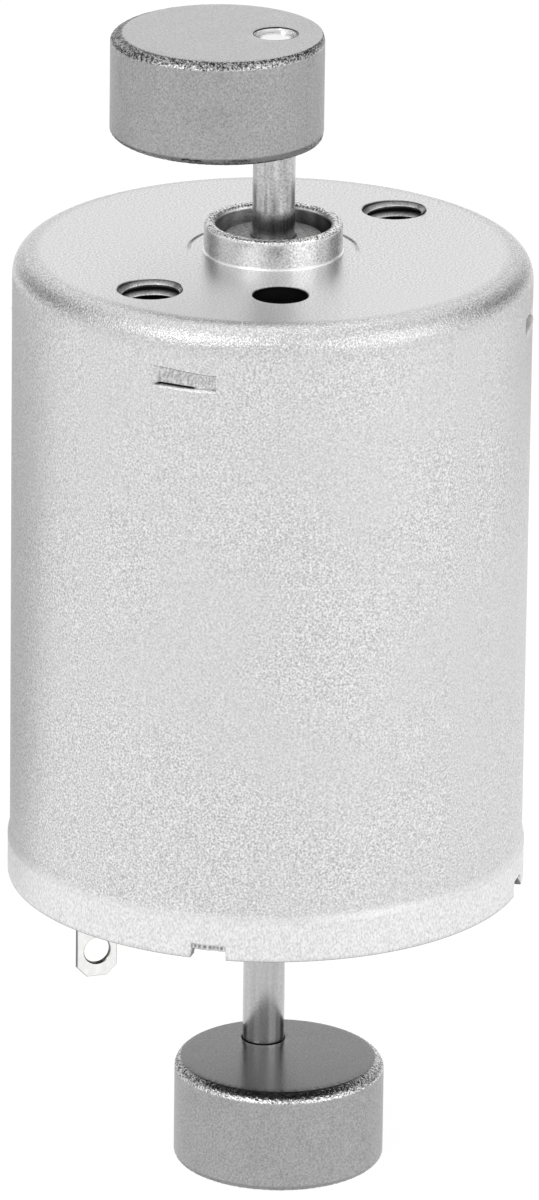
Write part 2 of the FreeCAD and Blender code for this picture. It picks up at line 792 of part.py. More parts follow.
def windings():
    """One coil round each tooth, trimmed to fit under the pole tips."""
    body = new_body("armature_windings")
    start = size.core_hub_radius + size.coil_play
    half_tooth = size.tooth_width / 2
    half_coil = half_tooth + size.coil_thickness
    top = front_insulator_top + size.coil_overhang
    bottom = hub_top - size.coil_overhang
    reach = tip_inner_radius - size.coil_play
    loop = new_sketch(body, "coil_section", "YZ_Plane", lift=start)
    rectangle(loop, -half_coil, half_coil, bottom, top)
    rectangle(loop, -half_tooth, half_tooth, hub_top, front_insulator_top)
    coil = pad(body, "coil", loop, reach - start)
    along_x = FreeCAD.Vector(1, 0, 0)
    corners = straight_edges(body, along_x, lambda spot: abs(abs(spot.y) - half_coil.value) < SAME_EDGE)
    rounded = dress(body, "Fillet", "coil_rounding", corners, size.coil_corner)
    polar_pattern(body, "coils", [coil, rounded], size.pole_count)
    trim = new_sketch(body, "coil_trim_section", "XZ_Plane")
    rectangle(trim, reach, core_radius, bottom - OVERCUT, top + OVERCUT)
    groove(body, "coil_trim", trim)
    return body


def commutator():
    """Copper segments on the hub, each with a riser tab that takes the coil ends."""
    body = new_body("commutator_segments")
    section = new_sketch(body, "segment_section", "XZ_Plane")
    rectangle(section, size.hub_radius, commutator_radius, riser_top - size.segment_length, riser_top)
    segment = revolve(body, "segment", section, arc=size.segment_arc)
    tab = new_sketch(body, "riser_section", "XY_Plane", lift=riser_top - size.riser_thickness)
    root = (size.hub_radius + commutator_radius) / 2
    tip = commutator_radius + size.riser_reach
    rectangle(tab, root, tip, -size.riser_width / 2, size.riser_width / 2)
    riser = pad(body, "riser", tab, size.riser_thickness)
    polar_pattern(body, "segments", [segment, riser], size.pole_count)
    return body


# ---------------------------------------------------------------- eccentric weights

def weight(name, turn, bottom):
    """Sintered disc, bored off its centre for the shaft."""
    body = new_body(name)
    disc = new_sketch(body, name + "_disc_section", "XY_Plane")
    circle(disc, size.weight_offset, 0, size.weight_radius)
    pad(body, name + "_disc", disc, size.weight_thickness)
    rims = [
        "Edge%d" % number
        for number, edge in enumerate(body.Tip.Shape.Edges, 1)
        if isinstance(edge.Curve, Part.Circle)
    ]
    dress(body, "Chamfer", name + "_rims", rims, size.weight_chamfer)
    bore = new_sketch(body, name + "_bore_section", "XY_Plane", lift=size.weight_thickness)
    circle(bore, 0, 0, size.shaft_radius)
    pocket(body, name + "_bore", bore, size.weight_thickness)
    place_body(body, turn=turn, height=bottom)
    return body


# ---------------------------------------------------------------- the assembly

half_turn = as_size(HALF_TURN)
quarter_turn = as_size(HALF_TURN / 2)
varistor_bore = commutator_radius + size.varistor_play
varistor_bottom = riser_top - size.riser_thickness - size.varistor_thickness
shaft_hole = size.shaft_radius

bodies = [
    drawn_can(),
    bearing("front_bearing", front_bearing_bottom),
    magnet("magnet_a", size.magnet_axis),
    magnet("magnet_b", size.magnet_axis + half_turn),
    magnet_spring("magnet_spring_a", size.magnet_axis + quarter_turn),
    magnet_spring("magnet_spring_b", size.magnet_axis - quarter_turn),
    end_cap(),
    bearing("rear_bearing", rear_bearing_bottom),
    terminal("terminal_a", size.terminal_angle),
    terminal("terminal_b", size.terminal_angle + half_turn),
    brush_arm("brush_arm_a", size.terminal_angle),
    brush_arm("brush_arm_b", size.terminal_angle + half_turn),
    brush("brush_a", size.terminal_angle),
    brush("brush_b", size.terminal_angle + half_turn),
    shaft(),
    tube("front_thrust_washer", shaft_hole, size.washer_radius, spacer_top, size.washer_thickness),
    tube("front_spacer", shaft_hole, size.spacer_radius, front_insulator_top, size.spacer_length),
    pole_star("front_insulator", core_top, size.insulator_thickness, tip_inner_radius),
    armature_core(),
    pole_star("rear_insulator", hub_top, size.insulator_thickness, tip_inner_radius),
    windings(),
    tube("commutator_hub", shaft_hole, size.hub_radius, hub_bottom, size.hub_length),
    commutator(),
    tube(
        "varistor_ring",
        varistor_bore,
        varistor_bore + size.varistor_width,
        varistor_bottom,
        size.varistor_thickness,
    ),
    tube("rear_thrust_washer", shaft_hole, size.washer_radius, rear_washer_bottom, size.washer_thickness),
    weight("front_weight", size.front_weight_angle, front_weight_bottom),
    weight("rear_weight", size.rear_weight_angle, rear_weight_bottom),
]

doc.recompute()
faults = [item.Label for item in doc.Objects if "Invalid" in item.State or "Error" in item.State]
faults += [body.Label for body in bodies if body.Shape.isNull() or not body.Shape.isValid()]
if faults:
    raise RuntimeError("not built: " + ", ".join(faults))

os.makedirs("parts", exist_ok=True)
for body in bodies:
    body.Shape.exportStep("parts/%s.step" % body.Label)
    print("%-22s %2d solids %9.3f mm3" % (body.Label, len(body.Shape.Solids), body.Shape.Volume))
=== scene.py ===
import json
import math

import bmesh
import bpy
import numpy as np
from mathutils import Matrix, Vector


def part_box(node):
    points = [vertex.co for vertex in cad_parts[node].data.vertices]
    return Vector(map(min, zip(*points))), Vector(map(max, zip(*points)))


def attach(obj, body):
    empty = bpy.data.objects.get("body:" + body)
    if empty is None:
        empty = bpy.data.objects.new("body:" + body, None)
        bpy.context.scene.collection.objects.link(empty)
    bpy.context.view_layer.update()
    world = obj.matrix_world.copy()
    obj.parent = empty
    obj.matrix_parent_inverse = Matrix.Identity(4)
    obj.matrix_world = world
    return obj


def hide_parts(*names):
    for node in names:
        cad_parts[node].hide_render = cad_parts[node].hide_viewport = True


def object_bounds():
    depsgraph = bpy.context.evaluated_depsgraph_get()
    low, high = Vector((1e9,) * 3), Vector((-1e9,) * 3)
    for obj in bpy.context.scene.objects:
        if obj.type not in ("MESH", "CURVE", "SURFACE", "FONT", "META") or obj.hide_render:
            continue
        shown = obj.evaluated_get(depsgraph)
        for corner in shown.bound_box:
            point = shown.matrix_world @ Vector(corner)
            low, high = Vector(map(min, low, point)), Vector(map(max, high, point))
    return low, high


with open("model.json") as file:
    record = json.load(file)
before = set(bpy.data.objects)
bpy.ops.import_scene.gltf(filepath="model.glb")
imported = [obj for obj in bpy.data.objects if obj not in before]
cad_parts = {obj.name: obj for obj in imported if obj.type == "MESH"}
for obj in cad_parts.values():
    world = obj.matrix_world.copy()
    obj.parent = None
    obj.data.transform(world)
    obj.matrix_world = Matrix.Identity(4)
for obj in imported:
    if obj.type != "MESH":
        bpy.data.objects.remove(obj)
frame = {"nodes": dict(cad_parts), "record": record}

cad_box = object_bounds()

# Small brushed DC vibration motor, in the order in which it is put together. Lengths are millimetres and
# angles degrees, with the shaft along Z and the can's front face at height 0.


# ---- can ----
# Deep-drawn from zinc-plated sheet steel: front face with a bearing boss, two tapped screw holes and a vent,
# lanced stops for the magnets, and an ironed band at the mouth. Four notches are staked over the end cap.

MM = 0.001


def node_box(node):
    """Lowest and highest corner of a CAD node in millimetres."""
    low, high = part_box(node)
    return np.array(low) / MM, np.array(high) / MM


def mount(name):
    return next(item for item in frame["record"]["mounts"] if item["name"] == name)


def turn_to(angle, radius):
    """Point at a radius and an angle in degrees round the shaft."""
    return radius * np.cos(np.radians(angle)), radius * np.sin(np.radians(angle))


def even_steps(marks, step):
    """Every mark, and between two marks as many even steps as keep them no longer than the given step."""
    runs = [
        np.linspace(start, end, max(1, math.ceil(abs(end - start) / step)), endpoint=False)
        for start, end in zip(marks[:-1], marks[1:])
    ]
    return np.concatenate(runs + [np.array([marks[-1]], float)])


def smooth_step(value, start, end):
    """0 before start and 1 after end, joined by 3t^2 - 2t^3."""
    t = np.clip((value - start) / (end - start), 0, 1)
    return t * t * (3 - 2 * t)


def window(angle, centre, half_width, blend):
    """1 within half_width of the centre angle, falling to 0 over the blend outside it."""
    away = np.abs((angle - centre + 180) % 360 - 180)
    return 1 - smooth_step(away, half_width, half_width + blend)


def unevenness(angle, slowest, fastest, seed):
    """Sum of cosines with whole numbers of waves round the circle and random phases, from about -1 to 1."""
    rng = np.random.default_rng(seed)
    waves = rng.integers(slowest, fastest, 28)[:, None]
    phase = rng.uniform(0, 2 * np.pi, 28)[:, None]
    total = np.cos(waves * np.radians(np.ravel(angle))[None, :] + phase).sum(0)
    return (total / 7.5).reshape(np.shape(angle))


def grid_cells(rows, columns, close_rows, close_columns):
    """Four corner numbers of each cell of a grid of points, with closed directions joined to their start."""
    row = np.arange(rows if close_rows else rows - 1)[:, None]
    column = np.arange(columns if close_columns else columns - 1)[None, :]
    below, beside = (row + 1) % rows, (column + 1) % columns
    row, below = row * columns, below * columns
    corners = (row + column, row + beside, below + beside, below + column)
    return np.stack(np.broadcast_arrays(*corners), -1)


def new_object(name, data):
    thing = bpy.data.objects.new(name, data)
    bpy.context.scene.collection.objects.link(thing)
    return thing


def make_piece(name, points, cells, material, smooth_angle=32, cut=None):
    """Mesh from points in millimetres and four-cornered cells. Points that meet are joined, which closes
    seams and poles, and faces are turned outwards. Edges sharper than smooth_angle degrees stay sharp. Cut
    says how dark the material makes each point: sheared, scuffed or punched metal, and painted shade in
    slits, grooves, holes and hollows."""
    mesh = bpy.data.meshes.new(name)
    mesh.from_pydata((points.reshape(-1, 3) * MM).tolist(), [], cells.reshape(-1, 4).tolist())
    if cut is not None:
        values = np.ravel(cut).astype(np.float32)
        mesh.attributes.new("cut", "FLOAT", "POINT").data.foreach_set("value", values)
    work = bmesh.new()
    work.from_mesh(mesh)
    bmesh.ops.remove_doubles(work, verts=work.verts, dist=1e-4 * MM)
    bmesh.ops.recalc_face_normals(work, faces=work.faces)
    work.to_mesh(mesh)
    work.free()
    mesh.shade_smooth()
    mesh.set_sharp_from_angle(angle=math.radians(smooth_angle))
    mesh.materials.append(material)
    return new_object(name, mesh)


can_low, can_high = node_box("can")

BAND_RADIUS = can_high[0]
CAN_RADIUS = mount("can_outside")["dims"]["r_mm"]
SHEET, MOUTH_WALL, BOSS_WALL = 0.8, 0.7, 0.55
CAN_BORE = CAN_RADIUS - SHEET
MOUTH_RADIUS = BAND_RADIUS - MOUTH_WALL
BORE_RADIUS = node_box("front_bearing")[1][0]
BOSS_RADIUS = BORE_RADIUS + BOSS_WALL
BOSS_TOP = can_high[2]
RIM = can_low[2]
BAND_TOP = RIM + 2.2
SHOULDER = 1.2
FACE_THICKNESS = 1.0
# The face's lines end at this radius; then the widest steps in degrees and across the face.
FACE_INNER, WIDEST_STEP, FACE_STEP = 4.3, 0.9, 0.24
INNER_CORNER = 0.4
EDGE_BREAK = 0.05
# A ring round the boss, coined deeper along two arcs than the sheet shows elsewhere.
COINED_RING, RING_DEPTH = 3.95, 0.09
RING_ARCS, ARC_HALF, ARC_FADE = (104, -20), 18, 24
# The boss's inside is painted dark as shade, least on this side, where the light falls in.
BORE_LIT_SIDE = 132
SCREW_PLACE = mount("face_screws")["dims"]["spacing_x_mm"] / 2
SCREW_RADIUS = mount("face_screws")["dims"]["hole_r_mm"]
VENT_PLACE, VENT_RADIUS = 6.9, 1.3
STOP_EDGE = node_box("magnet_a")[1][2]
STOP_HEIGHT, STOP_REACH, STOP_WIDTH = 0.75, 1.6, 3.0
STOP_PUSH, STOP_STEP, STOP_BURR = 0.24, 0.12, 0.05
SLIT_PUSH, SLIT_HEIGHT, LIP = 0.7, 0.08, 0.035
# Middle of each stop, and the side on which it is deeper.
STOPS = ((22.75, 1), (124.75, -1), (202.75, 1), (304.75, -1))
NOTCHES = (29.6, 119.6, 209.6, 299.6)
NOTCH_WIDTH, NOTCH_DEPTH, PUNCH_DEPTH = 1.6, 0.4, 0.18
STOP_HALF = math.degrees(math.asin(STOP_WIDTH / 2 / CAN_RADIUS))
NOTCH_HALF = math.degrees(math.asin(NOTCH_WIDTH / 2 / BAND_RADIUS))
LUG_TOP, LUG_HEIGHT, LUG_REACH = RIM + 0.8, 0.35, 0.65

# Each hole is a square block of cells left out of both sides of the face, and the lines round it bend to a
# circle: (angle, place radius, hole radius, half of the block, reach of the bending).
HOLES = (
    (0.0, SCREW_PLACE, SCREW_RADIUS, 1.3, 2.15),
    (180.0, SCREW_PLACE, SCREW_RADIUS, 1.3, 2.15),
    (225.0, VENT_PLACE, VENT_RADIUS, 1.1, 1.85),
)


def can_angles():
    """Angles of the can's lines: finer steps at the edges of holes, stops and notches."""
    marks = [0.0, 90.0, 180.0, 270.0, 360.0]
    for angle, place, _, half, _ in HOLES:
        edge = math.degrees(half / place)
        marks += [angle - edge, angle + edge]
    pressed = [(angle, STOP_HALF, 0.2, 32) for angle, _ in STOPS]
    pressed += [(angle, NOTCH_HALF, 0.25, 25) for angle in NOTCHES]
    for angle, edge, margin, lines in pressed:
        marks += [angle - edge - margin, angle + edge + margin]
        marks += list(np.linspace(angle - edge, angle + edge, lines))
    marks = sorted(mark % 360 if mark != 360.0 else mark for mark in marks)
    return even_steps(marks, WIDEST_STEP)[:-1]


def face_lines():
    """Radii of the face's lines, from the shoulder in to the boss, through every hole's block edges."""
    marks = {CAN_RADIUS - SHOULDER, FACE_INNER}
    for _, place, _, half, _ in HOLES:
        marks |= {place - half, place + half}
    return even_steps(sorted(marks, reverse=True), FACE_STEP)


def can_section():
    """Radius and height of the can's closed section, from the rim up the outside and down the inside."""
    arc = np.radians(np.linspace(0, 90, 11))
    corner = arc[2::3]
    face = face_lines()
    slit_rows = [-1.0, -0.6, -0.32, -0.24, -0.18, -SLIT_HEIGHT, -SLIT_HEIGHT + 0.02, -0.02, 0, 0.03]
    ramp_rows = [0.14, 0.28, 0.42, 0.56, 0.66, 0.72, STOP_HEIGHT, 0.78, 1.0, 1.3, STOP_REACH]
    crown = np.array([0.54, 0.51, 0.45, 0.37, 0.28, 0.2, 0.13, 0.07, 0.02])
    crown_drop = np.array([0.15, 0.08, 0.03, 0.005, 0, 0.01, 0.035, 0.08, 0.15])
    lug_rows = [LUG_TOP + 0.02, LUG_TOP, LUG_TOP - LUG_HEIGHT / 2, LUG_TOP - LUG_HEIGHT]
    parts = [
        # The band: broken lower edge, wall, and the step to the plain wall.
        (BAND_RADIUS - np.array([0.06, 0.015, 0]), RIM + np.array([0, 0.015, 0.06])),
        ([BAND_RADIUS] * 8, RIM + np.array([0.2, 0.36, 0.44, 0.62, 0.72, 1.1, 1.5, 1.86])),
        (
            CAN_RADIUS + np.array([0.098, 0.088, 0.062, 0.032, 0.008, 0]),
            BAND_TOP - np.array([0.4, 0.26, 0.12, 0.0, -0.14, -0.3]),
        ),
        # The wall with its stops, the shoulder, the face and its coined ring.
        ([CAN_RADIUS] * 6, np.linspace(BAND_TOP + 1.0, STOP_EDGE - 1.4, 6)),
        ([CAN_RADIUS] * 21, STOP_EDGE + np.array(slit_rows + ramp_rows)),
        (CAN_RADIUS - SHOULDER + SHOULDER * np.cos(arc), SHOULDER * np.sin(arc) - SHOULDER),
        (face[1:], 0 * face[1:]),
        (
            COINED_RING + np.array([0.14, 0.1, 0.03, -0.03, -0.1, -0.14]),
            -RING_DEPTH * np.array([0, 0, 1, 1, 0, 0]),
        ),
        # The boss: foot, wall, rounded crown and bore.
        (BOSS_RADIUS + np.array([0.35, 0.17, 0.09, 0.04, 0, 0]), [0, 0, -0.012, -0.03, -0.03, 0.05]),
        ([BOSS_RADIUS] * 4, [0.3, 0.6, 0.9, 1.16]),
        (BORE_RADIUS + crown, BOSS_TOP - crown_drop),
        ([BORE_RADIUS] * 7, [1.15, 0.9, 0.72, 0.4, 0, -0.6, -FACE_THICKNESS]),
        # Inside: the face, the rounded corner, the wall, and the mouth with the lugs' lines.
        (face[::-1], 0 * face - FACE_THICKNESS),
        (
            CAN_BORE - INNER_CORNER * (1 - np.sin(corner)),
            INNER_CORNER * np.cos(corner) - FACE_THICKNESS - INNER_CORNER,
        ),
        ([CAN_BORE] * 6, STOP_EDGE + np.array([1.4, 1.0, 0.7, 0.4, 0.02, -0.02])),
        ([CAN_BORE] * 2, [-12, BAND_TOP]),
        ([MOUTH_RADIUS] * 6, [BAND_TOP, BAND_TOP - 0.6] + lug_rows),
        (MOUTH_RADIUS + np.array([0, 0.04, 0.3, 0.5]), [RIM + 0.06, RIM, RIM, RIM]),
    ]
    radius = np.concatenate([np.asarray(part[0], float) for part in parts])
    height = np.concatenate([np.asarray(part[1], float) for part in parts])
    return radius, height


def can_shape(angle, radius, height):
    """The section carried round the shaft, then bent by its stops and notches.

    A stop is pushed in by a small step at its top and a ramp that grows to its sheared lower edge. It is
    deeper and taller at one end, where its side is a slope, and ends square at the other. Under its edge a
    slit is left, with a lip raised below it. A notch lifts the rim's lowest lines and presses them in, and
    its lug leans in over the end cap. The boss's crown is slightly uneven, and the ring round the boss is
    pressed on two arcs only. The second result says how dark points are: the sheared rim edge, scuffs on
    the stops, a dark fringe at each notch and specks on the bore's rim, and painted shade in the slits,
    under each stop's top step, in the ring's pressed arcs and inside the boss, lightest on its lit side.
    """
    theta, rho = np.meshgrid(angle, radius)
    rise = np.repeat(height[:, None], angle.size, 1)
    outside = np.zeros(radius.size, bool)
    outside[: np.argmax(height > -SHOULDER + 1e-6)] = True
    outside = outside[:, None]
    above = rise - STOP_EDGE
    slit = ((above < -0.01) & (above > -SLIT_HEIGHT + 0.01)).astype(float)
    lip = np.clip(1 - np.abs(above + SLIT_HEIGHT + 0.1) / 0.1, 0, 1)
    cut = np.zeros(theta.shape)
    for place, side in STOPS:
        across = side * ((theta - place + 180) % 360 - 180) / STOP_HALF
        deep = smooth_step(across, 1.0, -1.0)
        slope = smooth_step(across, -1.04, -0.84) * (1 - smooth_step(across, 1.0, 1.03))
        ramp = np.clip(1 - above / STOP_HEIGHT, 0, 1) * (above >= 0)
        push = (STOP_PUSH * ramp + STOP_STEP * np.clip(ramp / 0.03, 0, 1)) * (0.6 + 0.4 * deep)
        push = push - STOP_BURR * (above > -0.001) * (above < 0.05)
        # The slit under each stop's edge is pushed in and painted dark by the same amount, as shade in the
        # gap.
        opening = slit * (0.25 + 0.75 * window(across, -0.45, 0.35, 0.5))
        rho = rho - outside * slope * (push + SLIT_PUSH * opening - LIP * lip)
        inner = (np.abs(rho - CAN_BORE) < 0.01) & ~outside
        rho = rho - inner * slope * push
        specks = unevenness(theta + 61 * rise, 300, 700, 8)
        scuffed = 0.45 * (ramp > 0) * np.clip(0.15 + 1.6 * specks, 0, 1)
        # A painted shade line just under each stop's top step.
        step_shade = 0.8 * (ramp > 0.001) * (ramp < 0.06)
        cut = np.maximum(cut, outside * slope * np.maximum(opening, np.maximum(step_shade, scuffed)))
        on_stop = (above > 0) & (above < STOP_REACH) & (np.abs(across) < 1.3)
        taller = STOP_HEIGHT * (1 + window(across, 0, 1.0, 0.3) * (0.24 * deep - 0.1))
        squeezed = taller + (above - STOP_HEIGHT) * (STOP_REACH - taller) / (STOP_REACH - STOP_HEIGHT)
        sloped = np.where(above < STOP_HEIGHT, above * taller / STOP_HEIGHT, squeezed)
        rise = np.where(on_stop, STOP_EDGE + sloped, rise)
    jagged = 1 + 0.05 * unevenness(theta, 60, 170, 3)
    fringe = np.clip(0.7 + 0.9 * unevenness(theta, 200, 420, 4), 0, 1)
    for place in NOTCHES:
        here = window(theta, place, NOTCH_HALF, 0.25)
        lift = np.clip((RIM + 1.0 - rise) / 1.0, 0, 1)
        low = np.clip((RIM + 0.62 - rise) / 0.3, 0, 1)
        lug = np.abs(rise - LUG_TOP + LUG_HEIGHT / 4) < LUG_HEIGHT / 4 + 0.01
        lug = lug & (np.abs(rho - MOUTH_RADIUS) < 0.01)
        rho = rho - here * outside * low * PUNCH_DEPTH - here * lug * LUG_REACH
        cut = np.maximum(cut, 0.75 * here * outside * fringe * (np.abs(rise - RIM - 0.25) < 0.14))
        lifted = (rho > MOUTH_RADIUS - 0.05) * (outside | (rise < RIM + 0.1))
        rise = rise + here * NOTCH_DEPTH * jagged * lift * lifted
    radius, height = radius[:, None], height[:, None]
    crown = smooth_step(height, BOSS_TOP - 0.1, BOSS_TOP) * (np.abs(radius - BORE_RADIUS - 0.28) < 0.3)
    rise = rise + crown * (0.014 * unevenness(theta, 30, 140, 5) - 0.016)
    rho = rho + crown * 0.012 * unevenness(theta, 40, 160, 6)
    low_edge = 0.8 * smooth_step(height, RIM + 0.08, RIM + 0.01) * (radius > MOUTH_RADIUS + 0.02)
    groove = (np.abs(radius - COINED_RING) < 0.05) & (np.abs(height) < 0.2)
    pressed = sum(window(theta, middle, ARC_HALF, ARC_FADE) for middle in RING_ARCS)
    rise = rise + (1 - pressed) * RING_DEPTH * groove
    # The ring's two pressed arcs are painted darker, as shade in the groove; the rim's lower edge is sheared
    # and dark.
    cut = np.maximum(cut, np.maximum(low_edge, 0.22 * groove * pressed))
    inside = (np.cumsum(np.abs(radius - BORE_RADIUS) < 0.001, 0) > 0) & (height < BOSS_TOP - 0.12)
    # Painted shade inside the boss's bore, lightest on the side where the light falls in, with a little
    # random variation.
    bore_shade = 0.42 - 0.34 * np.cos(np.radians(theta - BORE_LIT_SIDE)) - 0.15 * unevenness(theta, 5, 24, 9)
    cut = np.maximum(cut, inside * bore_shade)
    bore_edge = (np.abs(radius - BORE_RADIUS - 0.1) < 0.09) & (height > BOSS_TOP - 0.12)
    cut = np.maximum(cut, bore_edge * np.clip(0.5 + unevenness(theta, 60, 180, 7), 0, 1))
    x, y = turn_to(theta, rho)
    return np.stack([x, y, rise], -1), cut


def round_hole(points, angle, radius, hole):
    """Bends the grid's lines about one hole. Of a point's distances along the radius and along the turn, the
    larger says which square ring it lies on. The block's edge goes to the circle of the same direction, and
    the change fades with distance from the block."""
    place_angle, place, hole_radius, half, reach = hole
    along = radius[:, None] - place + 0 * angle[None, :]
    turn = np.radians((angle - place_angle + 180) % 360 - 180)[None, :] * place + 0 * radius[:, None]
    square = np.maximum(np.abs(along), np.abs(turn))
    distance = np.maximum(np.hypot(along, turn), 1e-9)
    share = 1 - smooth_step(square, half, reach)
    on_face = (np.abs(points[..., 2]) < 0.001) | (np.abs(points[..., 2] + FACE_THICKNESS) < 0.001)
    share = share * on_face
    cos, sin = np.cos(np.radians(place_angle)), np.sin(np.radians(place_angle))
    out = place + along / distance * square / half * hole_radius
    side = turn / distance * square / half * hole_radius
    goal = np.stack([out * cos - side * sin, out * sin + side * cos, points[..., 2]], -1)
    return points + share[..., None] * (goal - points)


def block_loop(columns, low_row, high_row, low_column, high_column):
    """Grid numbers of the points round a block, in one direction."""
    down = np.arange(low_row, high_row)
    across = np.arange(low_column, high_column)
    row = [down, np.full(across.size, high_row), down[::-1] + 1, np.full(across.size, low_row)]
    column = [np.full(down.size, low_column), across, np.full(down.size, high_column), across[::-1] + 1]
    return np.concatenate(row), np.concatenate(column) % columns


def hole_walls(points, cut, cells, angle, radius, height):
    """Leaves each hole's block out of both sides of the face and joins the two loops by a wall with broken
    edges. The wall is sheared metal, painted fully dark, which also paints the shade inside the hole."""
    rows, columns = radius.size, angle.size
    extra_points, extra_cells = [], []
    keep = np.ones(cells.shape[:2], bool)
    count = rows * columns
    outer = np.flatnonzero(np.abs(height) < 1e-6)
    inner = np.flatnonzero(np.abs(height + FACE_THICKNESS) < 1e-6)
    for place_angle, place, hole_radius, half, _ in HOLES:
        edge = math.degrees(half / place)
        low_column = int(np.argmin(np.abs(angle - (place_angle - edge) % 360)))
        high_column = int(np.argmin(np.abs(angle - (place_angle + edge) % 360)))
        if high_column < low_column:
            high_column += columns
        loops = []
        for side in (outer, inner):
            first = side[np.argmin(np.abs(radius[side] - (place + half)))]
            last = side[np.argmin(np.abs(radius[side] - (place - half)))]
            low_row, high_row = min(first, last), max(first, last)
            block = np.arange(low_column, high_column) % columns
            keep[low_row:high_row, block] = False
            row, column = block_loop(columns, low_row, high_row, low_column, high_column)
            if side is inner:
                row = low_row + high_row - row
            loops.append(row * columns + column)
        x, y = turn_to(place_angle, place)
        centre = np.array([x, y, 0.0])
        rim = points.reshape(-1, 3)[loops[0]]
        points.reshape(-1, 3)[loops[0]] = centre + (rim - centre) * (1 + EDGE_BREAK / hole_radius)
        rings = [loops[0]]
        for depth in (EDGE_BREAK, FACE_THICKNESS - EDGE_BREAK):
            extra_points.append(rim - np.array([0, 0, depth]))
            rings.append(count + np.arange(loops[0].size))
            count += loops[0].size
        rings.append(loops[1])
        for upper, lower in zip(rings[:-1], rings[1:]):
            corners = (upper, np.roll(upper, -1), np.roll(lower, -1), lower)
            extra_cells.append(np.stack(corners, -1))
    all_points = np.concatenate([points.reshape(-1, 3)] + extra_points)
    # Hole walls are painted fully dark: sheared metal, and painted shade inside the holes.
    all_cut = np.concatenate([cut.ravel(), np.ones(len(all_points) - cut.size)])
    return all_points, all_cut, np.concatenate([cells[keep]] + extra_cells)


def linear(code):
    """Linear colour of an sRGB hex code."""
    parts = [int(code[at:at + 2], 16) / 255 for at in (1, 3, 5)]
    return [part / 12.92 if part <= 0.04045 else ((part + 0.055) / 1.055) ** 2.4 for part in parts] + [1.0]


def join(node, links):
    """Links a node's inputs, by name, to their sources, or its first input to one source. A node as source
    gives its first output in use."""
    if not isinstance(links, dict):
        links = {0: links}
    for name, source in links.items():
        if isinstance(source, bpy.types.Node):
            source = next(output for output in source.outputs if output.enabled)
        node.id_data.links.new(source, node.inputs[name])


def add(tree, kind, settings, links):
    """Adds one shader node, of a kind and perhaps a sort of it. Settings are its properties or its inputs'
    values by name, with From and To as pairs and a colour ramp's stops as (position, colour). Links are its
    inputs' sources, as for join."""
    kind, _, sort = kind.partition(" ")
    node = tree.nodes.new("ShaderNode" + kind)
    if sort:
        sort_names = {"Mix": "data_type", "MapRange": "interpolation_type"}
        setattr(node, sort_names.get(kind, "operation"), sort)
    for name, value in settings.items():
        if name == "stops":
            for element, (position, code) in zip(node.color_ramp.elements, value):
                element.position, element.color = position, linear(code)
        elif name in ("From", "From mm", "To"):
            unit = MM if name == "From mm" else 1
            for end, part in zip((" Min", " Max"), value):
                node.inputs[name.split()[0] + end].default_value = part * unit
        elif isinstance(name, str) and hasattr(node, name):
            setattr(node, name, value)
        else:
            node.inputs[name].default_value = value
    join(node, links)
    return node


def empty_material(name):
    material = bpy.data.materials.new(name)
    material.use_nodes = True
    material.node_tree.nodes.clear()
    return material, material.node_tree


def metal(roughness):
    return {"Metallic": 1.0, "Roughness": roughness}


def start_material(name, settings):
    """Principled material with its settings, and the object's own coordinates in metres. So the scale of a
    pattern is its grains a millimetre over MM."""
    material, tree = empty_material(name)
    shader = add(tree, "BsdfPrincipled", settings, {})
    add(tree, "OutputMaterial", {}, shader)
    place = add(tree, "TexCoord", {}, {}).outputs["Object"]
    return material, tree, shader, place


